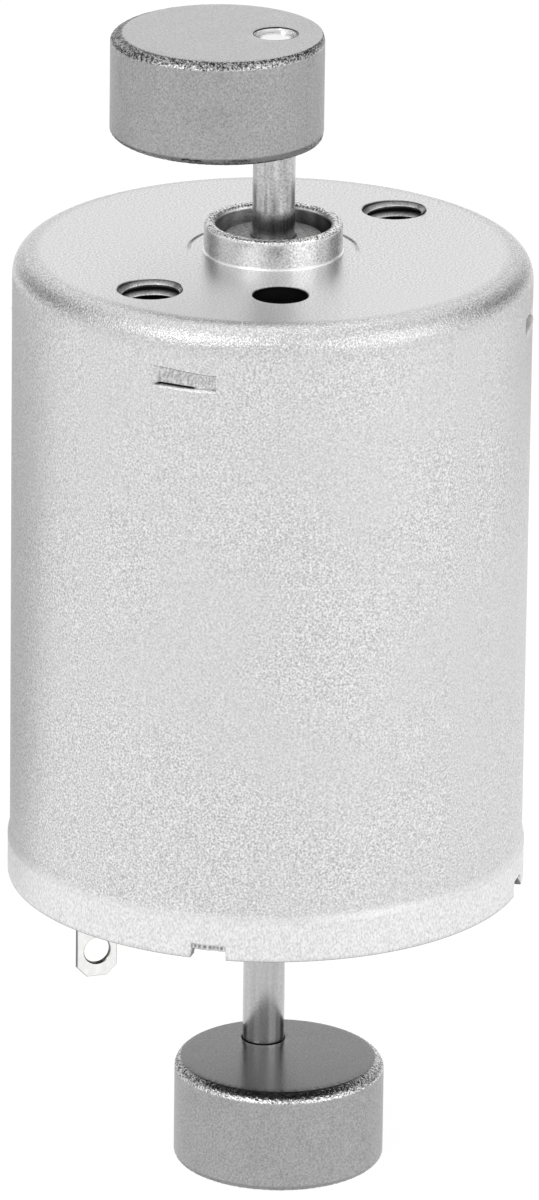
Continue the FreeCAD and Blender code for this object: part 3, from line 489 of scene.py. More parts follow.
def zinc_plated_steel():
    """Zinc plate on drawn sheet: pale neutral metal, satin, with a fine crystalline grain that shows as
    specks about 0.1 mm across, stronger in some patches than in others. The face is smoother than the wall.
    The grain opens and shines where the sheet was stretched, round the shoulder and at the boss's crown,
    which is worn to light and dark grains. A painted highlight, a white line, runs round the boss's foot.
    The ironed band is lighter, with fine upright scores. Sheared edges are dark, and the same dark tone
    paints shade in slits, grooves, holes and inside the boss."""
    material, tree, shader, place = start_material("zinc_plated_drawn_steel", {"Metallic": 1.0})
    fine = add(tree, "TexNoise", {"Scale": 10.5 / MM, "Roughness": 0.6}, place)
    patches = add(tree, "TexNoise", {"Scale": 0.13 / MM}, place)
    patchy = add(tree, "MapRange", {"From": (0.35, 0.62), "To": (0.5, 1.0)}, patches)
    apart = add(tree, "SeparateXYZ", {}, place).outputs
    height = apart["Z"]
    flat = add(tree, "CombineXYZ", {}, {"X": apart["X"], "Y": apart["Y"]})
    reach = add(tree, "VectorMath LENGTH", {}, flat)
    near_top = add(tree, "MapRange SMOOTHSTEP", {"From mm": (-SHOULDER - 0.5, -SHOULDER + 0.5)}, height)
    near_side = add(tree, "MapRange SMOOTHSTEP", {"From mm": (CAN_RADIUS - 1.5, CAN_RADIUS - 0.9)}, reach)
    shoulder = add(tree, "Math MULTIPLY", {}, {0: near_top, 1: near_side})
    crown = add(tree, "MapRange", {"From mm": (BOSS_TOP - 0.16, BOSS_TOP - 0.08), "To": (0, 0.85)}, height)
    stretched = add(tree, "Math MAXIMUM", {}, {0: shoulder, 1: crown})
    shifted = add(tree, "Math SUBTRACT", {1: 0.5}, fine)
    middle = add(tree, "MapRange", {"To": (0.5, 0.43)}, stretched)
    tone = add(tree, "Math MULTIPLY_ADD", {}, {0: shifted, 1: patchy, 2: middle})
    colour = add(tree, "ValToRGB", {"stops": ((0.34, "#B5B5B5"), (0.66, "#F6F6F6"))}, tone)
    upright = add(tree, "Mapping", {"Scale": (11 / MM, 11 / MM, 6.5 / MM)}, place)
    scores = add(tree, "TexNoise", {"Scale": 1.0, "Detail": 3.0}, upright)
    ironed = add(tree, "ValToRGB", {"stops": ((0.32, "#D4D4D4"), (0.62, "#F6F6F6"))}, scores)
    on_band = add(tree, "MapRange", {"From mm": (BAND_TOP + 0.15, BAND_TOP - 0.35)}, height)
    plate = add(tree, "Mix RGBA", {}, {"Factor": on_band, 6: colour, 7: ironed})
    grains = add(tree, "ValToRGB", {"stops": ((0.40, "#4C4C4C"), (0.54, "#F2F2F2"))}, fine)
    worn = add(tree, "Mix RGBA", {}, {"Factor": crown, 6: plate, 7: grains})
    # Painted highlight: a white line round the boss's foot.
    by_boss = add(tree, "MapRange", {"From mm": (BOSS_RADIUS + 0.07, BOSS_RADIUS + 0.03)}, reach)
    low_down = add(tree, "MapRange", {"From mm": (0.1, 0.03)}, height)
    foot = add(tree, "Math MULTIPLY", {}, {0: by_boss, 1: low_down})
    foot_highlighted = add(tree, "Mix RGBA", {7: linear("#FFFFFF")}, {"Factor": foot, 6: worn})
    cut = add(tree, "Attribute", {"attribute_name": "cut"}, {}).outputs["Fac"]
    # Sheared edges and scuffs are dark, and the same dark tone is painted shade in slits, grooves, holes and
    # inside the boss.
    marks_and_painted_shade = add(tree, "Mix RGBA", {7: linear("#3C3C3D")}, {"Factor": cut, 6: foot_highlighted})
    on_face = add(tree, "MapRange", {"From mm": (-0.3, -0.05), "To": (0.4, 0.3)}, height)
    gloss = add(tree, "MapRange", {"To Max": 0.24}, {"Value": stretched, "To Min": on_face})
    depth = add(tree, "MapRange", {"To": (0.15, 0.9)}, stretched)
    grain = add(tree, "Bump", {"Distance": 0.042 * MM}, {"Height": fine, "Strength": depth})
    join(shader, {"Base Color": marks_and_painted_shade, "Roughness": gloss, "Normal": grain})
    return material


def build_can():
    """The whole can as one closed grid with three holes cut through its face."""
    angle = can_angles()
    radius, height = can_section()
    points, cut = can_shape(angle, radius, height)
    for hole in HOLES:
        points = round_hole(points, angle, radius, hole)
    cells = grid_cells(radius.size, angle.size, True, True)
    return hole_walls(points, cut, cells, angle, radius, height)


plated = zinc_plated_steel()
can_points, can_cut, can_cells = build_can()
can = make_piece("can_drawn", can_points, can_cells, plated, cut=can_cut)
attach(can, "stator")
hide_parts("can")


# ---- screw threads ----
# M3 threads, formed by a tap in the can's own face, so they have the same plated finish. The root of each
# turn is painted dark, as shade, which leaves the crests bright.

THREAD_PITCH, THREAD_DEPTH, THREAD_MARGIN = 0.5, 0.2, 0.03
THREAD_STEPS, RUN_OUT = 150, 50


def thread_ridge(centre_x, start_angle):
    """A triangular ridge carried along a helix on the hole's wall. Its height grows and shrinks over the
    first and last RUN_OUT degrees, where the tap ran in and out."""
    top, bottom = -THREAD_MARGIN, THREAD_MARGIN - FACE_THICKNESS
    turns = (top - bottom) / THREAD_PITCH
    along = np.linspace(0, 1, THREAD_STEPS)[:, None]
    angle = start_angle + 360 * turns * along
    run_out = np.clip(np.minimum(along, 1 - along) * turns * 360 / RUN_OUT, 0.02, 1)
    reach = np.array([-0.03, -0.03, 0.8, 1.0, 0.8]) * THREAD_DEPTH * run_out
    lift = np.array([-0.4, 0.4, 0.1, 0, -0.1]) * THREAD_PITCH
    x, y = turn_to(angle, SCREW_RADIUS - reach)
    z = top + (bottom - top) * along + lift * run_out
    # The second result paints shade at each turn's root; the crest keeps the plated colour.
    return np.stack([x + centre_x, y, z], -1), np.array([1.0, 1.0, 0.35, 0.0, 0.35]) + 0 * run_out


for name, centre_x, start_angle in (
    ("screw_thread_a", SCREW_PLACE, -110),
    ("screw_thread_b", -SCREW_PLACE, -80),
):
    # The second result is painted shade at the thread's roots.
    ridge, groove = thread_ridge(centre_x, start_angle)
    body = grid_cells(*ridge.shape[:2], False, True)
    ends = np.array([[0, 1, 2, 2], [0, 2, 3, 3], [0, 3, 4, 4]])
    far_ends = ends[:, ::-1] + (THREAD_STEPS - 1) * ridge.shape[1]
    cells = np.concatenate([body.reshape(-1, 4), ends, far_ends])
    thread = make_piece(name, ridge, cells, plated, smooth_angle=50, cut=groove)
    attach(thread, "stator")


# ---- bearings ----
# Oil-soaked bushes pressed from iron powder, one in the can's boss and one in the end cap. The powder leaves
# a darker, slightly warm face full of fine pores; the chamfers are smoothed by the sizing press.

TURNED_COLUMNS = 96


def turned_piece(name, radius, height, closed, material):
    """Section of radius and height carried round the shaft's axis."""
    x, y = turn_to(np.arange(TURNED_COLUMNS) * 360 / TURNED_COLUMNS, radius[:, None])
    points = np.stack([x, y, height[:, None] + 0 * x], -1)
    return make_piece(name, points, grid_cells(radius.size, TURNED_COLUMNS, closed, True), material)


def sintered_iron():
    """Sintered iron: rough dark-grey metal, whose pores of about 0.1 mm show as pits and dark specks. The
    outer edge carries a painted highlight, a near-white ring."""
    material, tree, shader, place = start_material("sintered_iron_bush", metal(0.48))
    grain = add(tree, "TexNoise", {"Scale": 7 / MM, "Detail": 4.0, "Roughness": 0.6}, place)
    colour = add(tree, "ValToRGB", {"stops": ((0.34, "#5F5F5F"), (0.66, "#B4B4B3"))}, grain)
    flat = add(tree, "VectorMath MULTIPLY", {1: (1, 1, 0)}, place)
    reach = add(tree, "VectorMath LENGTH", {}, flat)
    # Painted highlight: a near-white ring at the outer edge.
    edge_highlight = add(tree, "MapRange", {"From mm": (BORE_RADIUS - 0.1, BORE_RADIUS - 0.04)}, reach)
    edged = add(tree, "Mix RGBA", {7: linear("#F2F2F1")}, {"Factor": edge_highlight, 6: colour})
    pits = add(tree, "Bump", {"Distance": 0.02 * MM, "Strength": 0.35}, {"Height": grain})
    join(shader, {"Base Color": edged, "Normal": pits})
    return material


def bush_section(low, high, chamfer, bore):
    """Bush with broken bore edges and smooth outer chamfers."""
    outer = high[0]
    flat = outer - chamfer
    radius = [bore, bore, bore + 0.08, flat - 0.02, flat + 0.03, outer - 0.02, outer, outer]
    height = [0.4, 0.09, 0.0, 0.0, 0.02, chamfer - 0.03, chamfer + 0.02, 0.5 * (high[2] - low[2])]
    upper = high[2] - np.array(height)
    lower = low[2] + np.array(height)
    return np.concatenate([radius, radius[::-1]]), np.concatenate([upper, lower[::-1]])


BUSH_CHAMFER, RUNNING_GAP = 0.45, 0.03
SHAFT_RADIUS = node_box("shaft")[1][0]
bush_iron = sintered_iron()
for name in ("front_bearing", "rear_bearing"):
    low, high = node_box(name)
    radius, height = bush_section(low, high, BUSH_CHAMFER, SHAFT_RADIUS + RUNNING_GAP)
    bush = turned_piece(name + "_bush", radius, height, True, bush_iron)
    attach(bush, "stator")
    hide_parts(name)


# ---- magnets and springs ----
# Two ferrite arcs, ground on their faces and held against the can's wall and its stops by two hairpins of
# spring steel. They are seen only through the vents.

def dress_nodes(material, *nodes):
    """Puts a material in every slot of CAD nodes, whose shapes stay as they are."""
    for node in nodes:
        mesh = frame["nodes"][node].data
        if not mesh.materials:
            mesh.materials.append(material)
        for slot in frame["nodes"][node].material_slots:
            slot.link = "OBJECT"
            slot.material = material


def plain_grain(name, dark, light, grain_size, settings, pit_strength, *nodes):
    """Plain finish, also for CAD nodes, which keep their shape: two tones mixed by noise whose grains are
    grain_size millimetres across, with the same noise as shallow relief."""
    material, tree, shader, place = start_material(name, settings)
    grain = add(tree, "TexNoise", {"Scale": 1 / (grain_size * MM), "Detail": 3.0}, place)
    colour = add(tree, "ValToRGB", {"stops": ((0.35, dark), (0.65, light))}, grain)
    depth = 0.1 * grain_size * MM
    relief = add(tree, "Bump", {"Distance": depth, "Strength": pit_strength}, {"Height": grain})
    join(shader, {"Base Color": colour, "Normal": relief})
    dress_nodes(material, *nodes)
    return material


# Ferrite: black ceramic, ground matt, with a grain of about 0.15 mm.
plain_grain("ground_ferrite", "#262628", "#3B3B3E", 0.15, {"Roughness": 0.6}, 0.3, "magnet_a", "magnet_b")
# Spring wire: drawn and blued, so dark and semi-bright.
springs = ("magnet_spring_a", "magnet_spring_b")
plain_grain("drawn_spring_wire", "#4C4D52", "#7B7C80", 0.3, metal(0.35), 0.2, *springs)


# ---- end cap ----
# Injection-moulded in black glass-filled nylon: it carries the rear bush, the terminals and the brushes.
# Moulded nylon is satin, with a fine spark-eroded texture and slightly paler flow marks.

def moulded_nylon():
    """Spark-eroded mould texture of about 0.15 mm, and cloudy flow marks a few millimetres long."""
    material, tree, shader, place = start_material("black_moulded_nylon", {"Roughness": 0.5, "IOR": 1.53})
    texture = add(tree, "TexNoise", {"Scale": 6.5 / MM}, place)
    flow = add(tree, "TexNoise", {"Scale": 0.35 / MM, "Detail": 3.0, "Distortion": 0.6}, place)
    colour = add(tree, "ValToRGB", {"stops": ((0.35, "#1B1B1C"), (0.68, "#2C2C2E"))}, flow)
    relief = add(tree, "Bump", {"Distance": 0.02 * MM, "Strength": 0.5}, {"Height": texture})
    join(shader, {"Base Color": colour, "Normal": relief})
    return material


dress_nodes(moulded_nylon(), "end_cap")


# ---- terminals ----
# Blades stamped from tinned brass, pushed through the end cap. Each has cut corners and an eye for a
# soldered lead; stamping leaves the tin bright.

def tinned_brass():
    """Hot-dipped tin: nearly white, bright, with soft ripples about 0.4 mm long."""
    material, tree, shader, place = start_material("tinned_brass", metal(0.3))
    ripple = add(tree, "TexNoise", {"Scale": 2.5 / MM, "Detail": 3.0}, place)
    colour = add(tree, "ValToRGB", {"stops": ((0.3, "#EEEEED"), (0.7, "#FDFDFC"))}, ripple)
    cut = add(tree, "Attribute", {"attribute_name": "cut"}, {}).outputs["Fac"]
    sheared = add(tree, "Mix RGBA", {7: linear("#5A5855")}, {"Factor": cut, 6: colour})
    relief = add(tree, "Bump", {"Distance": 0.01 * MM, "Strength": 0.2}, {"Height": ripple})
    join(shader, {"Base Color": sheared, "Normal": relief})
    return material


TERMINAL_ANGLE, TERMINAL_WIDTH, TERMINAL_INSET = 152, 2.0, 1.9
TERMINAL_THICKNESS, TERMINAL_CORNER = 0.3, 0.5
EYE_RADIUS, EYE_RISE = 0.65, 1.3


def blade(angle, inner, outer, tip, top):
    """Rings from the eye out to the blade's outline, on both sides and round the edges.

    The outline is the nearest of six straight edges in each direction from the eye's centre; directions
    through every corner are among the columns, so the corners are exact. Edges are broken by small bevels.
    """
    middle = (inner + outer) / 2
    eye = tip + EYE_RISE
    half = (outer - inner) / 2
    cut_edge = (half + EYE_RISE - TERMINAL_CORNER) / math.sqrt(2)
    slant = math.sqrt(0.5)
    normals = np.array([[1, 0], [-1, 0], [0, -1], [0, 1], [slant, -slant], [-slant, -slant]])
    reach = np.array([half, half, EYE_RISE, top - eye, cut_edge, cut_edge])
    corners = []
    for side in (half, -half):
        inward = side - math.copysign(TERMINAL_CORNER, side)
        corners += [(side, top - eye), (side, TERMINAL_CORNER - EYE_RISE), (inward, -EYE_RISE)]
    marks = sorted(math.degrees(math.atan2(z, r)) % 360 for r, z in corners)
    direction = np.radians(even_steps([marks[-1] - 360] + marks, 4)[:-1])
    ray = np.stack([np.cos(direction), np.sin(direction)], -1)
    facing = ray @ normals.T
    edge = np.where(facing > 1e-6, reach / np.maximum(facing, 1e-6), np.inf).min(1)
    side = np.array([0.0, 0.0, 1.0, 1.0, 1.0, 1.0, 0.0, 0.0])
    inset = np.array([0, EDGE_BREAK, -EDGE_BREAK, 0, 0, -EDGE_BREAK, EDGE_BREAK, 0])
    depth = TERMINAL_THICKNESS / 2 - np.array([EDGE_BREAK, 0, 0, EDGE_BREAK])
    depth = np.concatenate([depth, -depth[::-1]])
    distance = EYE_RADIUS + side[:, None] * (edge[None, :] - EYE_RADIUS) + inset[:, None]
    place = middle + distance * ray[None, :, 0]
    height = eye + distance * ray[None, :, 1]
    along, across = turn_to(angle, 1.0)
    x = place * along - depth[:, None] * across
    y = place * across + depth[:, None] * along
    cut = np.array([1.0, 0.0, 0.0, 1.0, 1.0, 0.0, 0.0, 1.0])[:, None] + 0 * place
    return np.stack([x, y, height], -1), cut


tin = tinned_brass()
terminal_low, terminal_high = node_box("terminal_a")
terminal_outer = CAN_BORE - TERMINAL_INSET
for name, angle in (("terminal_a", TERMINAL_ANGLE), ("terminal_b", TERMINAL_ANGLE + 180)):
    inner = terminal_outer - TERMINAL_WIDTH
    points, cut = blade(angle, inner, terminal_outer, terminal_low[2], terminal_high[2])
    cells = grid_cells(*points.shape[:2], True, True)
    piece = make_piece(name + "_blade", points, cells, tin, cut=cut)
    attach(piece, "stator")
    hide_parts(name)


# ---- brush gear ----
# Leaf springs of phosphor bronze on the terminals press two pressed-carbon brushes on the commutator.

arms = ("brush_arm_a", "brush_arm_b")
plain_grain("rolled_phosphor_bronze", "#A8754F", "#C68E63", 0.5, metal(0.3), 0.15, *arms)
plain_grain("pressed_carbon", "#1E1E20", "#39393B", 0.12, {"Roughness": 0.55}, 0.4, "brush_a", "brush_b")


# ---- shaft ----
# Centreless-ground and polished steel pin, 2 mm across. Grinding leaves rings finer than 0.05 mm round it,
# which stretch each reflection along the shaft.

def ground_steel():
    """Ground steel: mid grey and bright, with grains about 0.1 mm across, soft polish marks about 0.4 mm
    wide that run up the pin, and shallow grinding rings 0.12 mm apart, coarser than the real ones. Grains
    and marks are fainter at the rear. The top end face is painted near white, as a highlight."""
    material, tree, shader, place = start_material("ground_steel_pin", metal(0.2))
    squeeze = add(tree, "Mapping", {"Scale": (0.15 / MM, 0.15 / MM, 8 / MM)}, place)
    rings = add(tree, "TexNoise", {"Scale": 1.0}, squeeze)
    stretch = add(tree, "Mapping", {"Scale": (2.3 / MM, 2.3 / MM, 0.16 / MM)}, place)
    marks = add(tree, "TexNoise", {"Scale": 1.0, "Detail": 2.5}, stretch)
    fine = add(tree, "TexNoise", {"Scale": 9.5 / MM}, place)
    mottle = add(tree, "Mix FLOAT", {"Factor": 0.45}, {2: marks, 3: fine})
    height = add(tree, "SeparateXYZ", {}, place).outputs["Z"]
    handled = add(tree, "MapRange", {"From mm": (RIM, RIM + 1.0), "To": (0.35, 1)}, height)
    tone = add(tree, "Mix FLOAT", {2: 0.5}, {"Factor": handled, 3: mottle})
    colour = add(tree, "ValToRGB", {"stops": ((0.36, "#949494"), (0.62, "#D4D4D4"))}, tone)
    # Painted highlight: the pin's top end face is made near white.
    top = shaft_high[2] + END_RISE
    on_top = add(tree, "MapRange", {"From mm": (top - 0.18, top - 0.03)}, height)
    ends = add(tree, "Mix RGBA", {7: linear("#F4F4F4")}, {"Factor": on_top, 6: colour})
    relief = add(tree, "Bump", {"Distance": 0.002 * MM, "Strength": 0.06}, {"Height": rings})
    join(shader, {"Base Color": ends, "Normal": relief})
    return material


def shaft_section(low, high):
    """Half section from the top's centre to the bottom's: flat ends and rounded chamfers."""
    radius = SHAFT_RADIUS - np.array([1, 0.6, 0.42, 0.38, 0.06, 0])
    inset = np.array([0, 0, 0.005, 0.015, 0.17, 0.23])
    top, bottom = high[2] + END_RISE - inset, low[2] + inset
    middle = np.linspace(top[-1] - 0.5, bottom[-1] + 0.5, PIN_ROWS)
    height = np.concatenate([top, middle, bottom[::-1]])
    return np.concatenate([radius, 0 * middle + SHAFT_RADIUS, radius[::-1]]), height


# How far the pin's upper end rises above the solid's.
END_RISE, PIN_ROWS = 0.15, 60
shaft_low, shaft_high = node_box("shaft")
steel_pin = ground_steel()
radius, height = shaft_section(shaft_low, shaft_high)
shaft = turned_piece("shaft_pin", radius, height, False, steel_pin)
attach(shaft, "rotor")
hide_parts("shaft")


# ---- armature ----
# Laminated core with three enamelled-copper coils on epoxy-paper insulators, a turned brass spacer, nylon
# thrust washers and the commutator: copper segments on a phenolic hub, with a ceramic varistor ring.

washers, nylon = ("front_thrust_washer", "rear_thrust_washer"), {"Roughness": 0.45, "IOR": 1.53}
insulators, enamel = ("front_insulator", "rear_insulator"), {"Roughness": 0.25, "Coat Weight": 0.6}
plain_grain("natural_nylon", "#DAD6C8", "#EEEBE0", 0.8, nylon, 0.1, *washers)
plain_grain("turned_brass", "#B5985A", "#D0B677", 0.3, metal(0.28), 0.15, "front_spacer")
plain_grain("epoxy_paper", "#9C3B2C", "#B44A38", 0.4, {"Roughness": 0.6}, 0.4, *insulators)
plain_grain("blued_laminations", "#4B4E55", "#6A6D73", 0.35, metal(0.4), 0.4, "armature_core")
plain_grain("enamelled_copper", "#8C4424", "#B4603A", 0.3, enamel, 0.8, "armature_windings")
plain_grain("moulded_phenolic", "#2E1C14", "#43291D", 0.4, {"Roughness": 0.4}, 0.2, "commutator_hub")
plain_grain("drawn_copper", "#B8704C", "#D68E68", 0.4, metal(0.25), 0.1, "commutator_segments")
plain_grain("fired_varistor_ceramic", "#33363B", "#4A4D52", 0.2, {"Roughness": 0.5}, 0.3, "varistor_ring")


# ---- eccentric weights ----
# Discs pressed and sintered from steel powder, bored off centre and pressed on the shaft's ends. The
# pressing die leaves the flats smoother than the sides, and the upper chamfers crumbly and open-grained.

WEIGHT_RADIUS, WEIGHT_CHAMFER, BORE_CHAMFER = 5.0, 0.36, 0.06
WEIGHT_OFFSET = 2.7


def sintered_steel(low, high, flat_dark, flat_light, painted_bore_tone, hollowed, crumb_light):
    """Sintered steel: mid grey, the sides finely mottled. The upper flat is smoother and of the given tones,
    which on the rear weight are painted dark as shade under the can. The lower flat is painted light, so
    that the can's face mirrors it as lit. The upper chamfer is crumbly, with grains about 0.1 mm across that
    get darker towards the flat; the lower one is smooth and mid grey. The bore has a chamfer in a painted
    tone of its own, a highlight on the front weight and shade on the rear, inside a thin dark line. Zones
    follow height and distance from the shaft's axis."""
    material, tree, shader, place = start_material("sintered_steel", {"Metallic": 1.0})
    fine = add(tree, "TexNoise", {"Scale": 10.5 / MM, "Roughness": 0.6}, place)
    cloud = add(tree, "TexNoise", {"Scale": 0.7 / MM, "Detail": 4.0}, place)
    height = add(tree, "SeparateXYZ", {}, place).outputs["Z"]
    middle = add(tree, "Math SUBTRACT", {1: (low + high) / 2 * MM}, height)
    away = add(tree, "Math ABSOLUTE", {}, middle)
    half = (high - low) / 2
    chamfer_start = half - WEIGHT_CHAMFER
    on_flat = add(tree, "MapRange", {"From mm": (half - 0.03, half - 0.005)}, away)
    past_side = add(tree, "MapRange", {"From mm": (chamfer_start - 0.06, chamfer_start + 0.02)}, away)
    chamfer = add(tree, "Math SUBTRACT", {"use_clamp": True}, {0: past_side, 1: on_flat})
    tone = add(tree, "Mix FLOAT", {"Factor": 0.12}, {2: fine, 3: cloud})
    colour = add(tree, "ValToRGB", {"stops": ((0.30, "#8E8E8E"), (0.70, "#BCBCBC"))}, tone)
    flat_colour = add(tree, "ValToRGB", {"stops": ((0.30, flat_dark), (0.70, flat_light))}, tone)
    on_upper = add(tree, "MapRange", {"From mm": (-0.1, 0.1)}, middle)
    # The lower flat is painted light, so that the can's face mirrors it as lit rather than as a shaded
    # underside.
    flats = add(tree, "Mix RGBA", {6: linear("#E6E6E6")}, {"Factor": on_upper, 7: flat_colour})
    zones = add(tree, "Mix RGBA", {}, {"Factor": on_flat, 6: colour, 7: flats})
    climb = add(tree, "MapRange", {"From mm": (chamfer_start, half)}, away)
    hollow = add(tree, "MapRange", {"To": (-0.02 * hollowed, -0.15 * hollowed)}, climb)
    crumb_tone = add(tree, "Math ADD", {}, {0: hollow, 1: tone})
    crumbs = add(tree, "ValToRGB", {"stops": ((0.32, "#2E2E2E"), (0.62, crumb_light))}, crumb_tone)
    flat = add(tree, "VectorMath MULTIPLY", {1: (1, 1, 0)}, place)
    reach = add(tree, "VectorMath LENGTH", {}, flat)
    off_bore = add(tree, "MapRange", {"From mm": (SHAFT_RADIUS + 0.2, SHAFT_RADIUS + 0.25)}, reach)
    outer_edge = add(tree, "Math MULTIPLY", {}, {0: chamfer, 1: off_bore})
    crumbly = add(tree, "Math MULTIPLY", {}, {0: outer_edge, 1: on_upper})
    edge_tone = add(tree, "Mix RGBA", {6: linear("#8A8A8A")}, {"Factor": on_upper, 7: crumbs})
    edged = add(tree, "Mix RGBA", {}, {"Factor": outer_edge, 6: zones, 7: edge_tone})
    # The bore's chamfer gets its painted tone: a highlight on the front weight, shade on the rear.
    at_bore = add(tree, "MapRange", {"From mm": (SHAFT_RADIUS + 0.02, SHAFT_RADIUS + 0.01)}, reach)
    bore_painted = add(tree, "Mix RGBA", {7: linear(painted_bore_tone)}, {"Factor": at_bore, 6: edged})
    off_line = add(tree, "Math SUBTRACT", {1: (SHAFT_RADIUS + 0.045) * MM}, reach)
    off_line = add(tree, "Math ABSOLUTE", {}, off_line)
    bore_line = add(tree, "MapRange", {"From mm": (0.04, 0.025)}, off_line)
    lined = add(tree, "Mix RGBA", {7: linear("#2C2C2C")}, {"Factor": bore_line, 6: bore_painted})
    gloss = add(tree, "MapRange", {"To": (0.4, 0.22)}, past_side)
    depth = add(tree, "MapRange", {"To": (0.12, 0.8)}, crumbly)
    pits = add(tree, "Bump", {"Distance": 0.035 * MM}, {"Height": fine, "Strength": depth})
    join(shader, {"Base Color": lined, "Roughness": gloss, "Normal": pits})
    return material


def weight_shape(angle_of_offset, low, high, seed):
    """Eccentric rings: each ring of the section is a circle whose centre moves from the shaft's axis to the
    disc's own as it grows from the bore to the rim. The chamfer lies between a flat one and a quarter round:
    out = (s + 3 sin) / 4, in = (s + 3 - 3 cos) / 4. Its rings are uneven, inwards only, by up to 0.05 mm."""
    flat = np.linspace(SHAFT_RADIUS + BORE_CHAMFER + 0.02, WEIGHT_RADIUS - WEIGHT_CHAMFER - 0.03, 14)
    share = np.linspace(0, 1, 12)
    turn = share * math.pi / 2
    chamfer_out = WEIGHT_RADIUS - WEIGHT_CHAMFER * (1 - (share + 3 * np.sin(turn)) / 4)
    chamfer_in = WEIGHT_CHAMFER * (share + 3 - 3 * np.cos(turn)) / 4
    side = np.linspace(WEIGHT_CHAMFER + 0.07, (high - low) / 2, 9)
    bore = [SHAFT_RADIUS, SHAFT_RADIUS, SHAFT_RADIUS + BORE_CHAMFER - 0.01]
    radius = np.concatenate([bore, flat, chamfer_out, 0 * side + WEIGHT_RADIUS])
    inset = np.concatenate([[1.5, BORE_CHAMFER + 0.02, 0.012], 0 * flat, chamfer_in, side])
    rough = np.concatenate([[0, 0, 0], 0 * flat, np.clip(0.35 + 5 * share * (1 - share), 0, 1), 0 * side])
    radius, rough = np.append(radius, radius[-2::-1]), np.append(rough, rough[-2::-1])
    height = np.append(high - inset, (low + inset)[-2::-1])
    angle = np.arange(0, 360, 0.8)
    jitter = np.stack([unevenness(angle, 40, 220, seed + row) for row in range(radius.size)])
    crumbled = rough[:, None] * np.clip(1 + 1.4 * jitter, 0, 3)
    ring = radius[:, None] - 0.014 * crumbled
    grow = np.clip((radius - SHAFT_RADIUS) / (WEIGHT_RADIUS - SHAFT_RADIUS), 0, 1)[:, None]
    across, along = turn_to(angle_of_offset, WEIGHT_OFFSET)
    x, y = turn_to(angle[None, :], ring)
    z = height[:, None] - 0.01 * crumbled * np.sign(height - (low + high) / 2)[:, None]
    return np.stack([x + grow * across, y + grow * along, z], -1)


# (node, direction of the offset, seed, tones of the upper flat, painted tone of the bore, how much darker
# the upper chamfer gets towards the flat, tone of its light grains). The rear one's upper flat and bore are
# painted dark, as shade under the can; the front one's near-white bore is a painted highlight.
WEIGHTS = (
    ("front_weight", 131.0, 100, "#9E9E9E", "#C6C6C6", "#F2F2F2", 1.0, "#D6D6D6"),
    ("rear_weight", -121.3, 300, "#6A6A6A", "#8A8A8A", "#505050", 0.1, "#FFFFFF"),
)
for name, angle_of_offset, seed, *finish in WEIGHTS:
    low, high = node_box(name)
    points = weight_shape(angle_of_offset, low[2], high[2], seed)
    cells = grid_cells(*points.shape[:2], True, True)
    weight = make_piece(name + "_disc", points, cells, sintered_steel(low[2], high[2], *finish))
    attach(weight, "rotor")
    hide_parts(name)


# ---- studio ----
# The motor stands on its rear weight on a white floor, in plain white light from all sides. Grey cards,
# which only reflections see, give its rounded edges and its left side something darker to mirror.

def seen_light(tree):
    """1 for rays from the camera and from clear reflections, and 0 for the light that things cast."""
    path = add(tree, "LightPath", {}, {}).outputs
    seen = add(tree, "Math MAXIMUM", {}, {0: path["Is Camera Ray"], 1: path["Is Glossy Ray"]})
    return add(tree, "Math MAXIMUM", {}, {0: seen, 1: path["Is Transmission Ray"]})


def white_floor():
    """White floor that the camera and the metal see as nearly plain white, with a faint shadow."""
    material, tree = empty_material("white_floor")
    glow = add(tree, "Math MULTIPLY", {1: 0.94}, seen_light(tree))
    matt = add(tree, "BsdfDiffuse", {"Color": linear("#6C6C6C")}, {})
    light = add(tree, "Emission", {}, {"Strength": glow})
    both = add(tree, "AddShader", {}, {0: matt, 1: light})
    add(tree, "OutputMaterial", {}, both)
    return material


def flat_sheet(name, points, faces, material):
    """Thin sheet for the studio from its points in metres."""
    mesh = bpy.data.meshes.new(name)
    mesh.from_pydata([tuple(point) for point in points], [], faces)
    mesh.materials.append(material)
    sheet = new_object(name, mesh)
    return sheet


FLOOR_REACH, FLOOR_GAP = 4.0, 0.2 * MM
floor_height = cad_box[0].z - FLOOR_GAP
floor_signs = ((-1, -1), (1, -1), (1, 1), (-1, 1))
floor_corners = [(FLOOR_REACH * x, FLOOR_REACH * y, floor_height) for x, y in floor_signs]
flat_sheet("floor", floor_corners, [[0, 1, 2, 3]], white_floor())

VIEW_AZIMUTH = -48.0
VIEW_ELEVATION = 19.70
VIEW_ROLL = 0.0127
TARGET_ACROSS, TARGET_HEIGHT = 0.036, -17.434
CAMERA_DISTANCE = 506.38
LENS = 321.19


def from_view(across, away, up):
    """Point given along the view's level axes (to the right, away from the viewer, up), in metres."""
    turn = math.radians(VIEW_AZIMUTH)
    x = across * math.cos(turn) - away * math.sin(turn)
    y = across * math.sin(turn) + away * math.cos(turn)
    return np.array([x, y, up]) * MM


CARD_PARTS = 8


def card(name, shade, first, last, near, low, far, high):
    """Strip along an arc round the motor, from first to last in degrees to the right of straight away: one
    edge at distance near and height low, the other at far and high. Only reflections see it."""
    over = CARD_PARTS + 1
    turn = np.radians(np.linspace(first, last, over))
    points = [from_view(near * math.sin(step), near * math.cos(step), low) for step in turn]
    points += [from_view(far * math.sin(step), far * math.cos(step), high) for step in turn]
    faces = [[step, step + 1, step + over + 1, step + over] for step in range(CARD_PARTS)]
    strip = flat_sheet(name, points, faces, plain_grain(name, shade, shade, 4.0, {"Roughness": 0.9}, 0.0))
    strip.visible_camera = strip.visible_diffuse = strip.visible_shadow = False


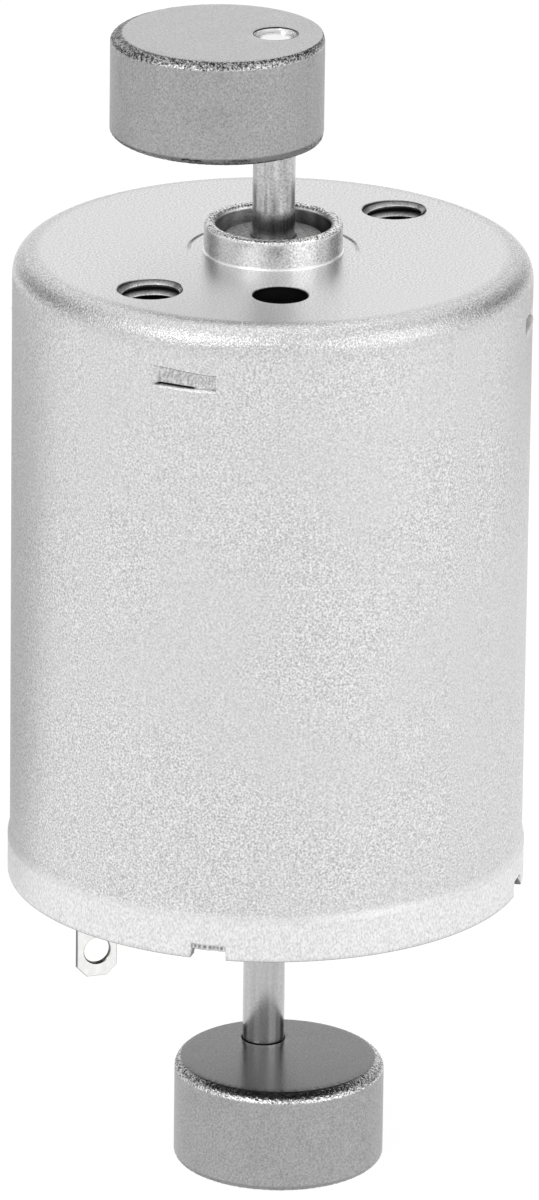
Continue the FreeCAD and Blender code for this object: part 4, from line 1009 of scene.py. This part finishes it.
card("card_behind_left", "#B4B4B4", -76, -37, 400, 20, 380, 230)
card("card_behind_right", "#A8A8A8", 34, 74, 400, 20, 380, 230)
LYING = -44.8
card("card_lying_left", "#7A7A7A", -70, -15, 125, LYING, 143, LYING)
card("card_lying_near", "#E8E8E8", -65, -8, 45, LYING, 125, LYING)
card("card_lying_right", "#1C1C1C", 8, 60, 123, LYING, 137, LYING)

world = bpy.data.worlds.new("white_studio")
world.use_nodes = True
bpy.context.scene.world = world
sky = world.node_tree
sky.nodes.clear()
level = add(sky, "MapRange", {"To": (0.5, 1.0)}, seen_light(sky))
white = add(sky, "Background", {"Color": (1, 1, 1, 1)}, {"Strength": level})
add(sky, "OutputWorld", {}, white)


def soft_lamp(name, across, away, up, size, watts):
    """Square soft box aimed at the middle of the can."""
    data = bpy.data.lights.new(name, "AREA")
    data.shape = "SQUARE"
    data.size = size * MM
    data.energy = watts
    lamp = new_object(name, data)
    place = from_view(across, away, up)
    aim = from_view(0, 0, TARGET_HEIGHT) - place
    lamp.location = place
    lamp.rotation_mode = "QUATERNION"
    lamp.rotation_quaternion = Vector(aim).to_track_quat("-Z", "Y")


soft_lamp("key", -260, -330, 330, 260, 0.48)
soft_lamp("fill", 330, -260, 160, 320, 0.3)
soft_lamp("top", 0, 120, 420, 300, 0.15)

camera_data = bpy.data.cameras.new("camera")
camera_data.lens = LENS
camera_data.sensor_width = 36.0
camera = new_object("camera", camera_data)
elevation = math.radians(VIEW_ELEVATION)
target = from_view(TARGET_ACROSS, 0, TARGET_HEIGHT)
nearer, higher = -CAMERA_DISTANCE * math.cos(elevation), CAMERA_DISTANCE * math.sin(elevation)
eye = from_view(TARGET_ACROSS, nearer, TARGET_HEIGHT + higher)
back = Vector(eye - target).normalized()
level_right = Vector(from_view(1, 0, 0)).normalized()
level_up = back.cross(level_right)
right = level_right * math.cos(VIEW_ROLL) + level_up * math.sin(VIEW_ROLL)
up = back.cross(right)
camera.matrix_world = Matrix((right, up, back)).transposed().to_4x4()
camera.location = Vector(eye)
bpy.context.scene.camera = camera
bpy.context.scene.view_settings.view_transform = "Standard"
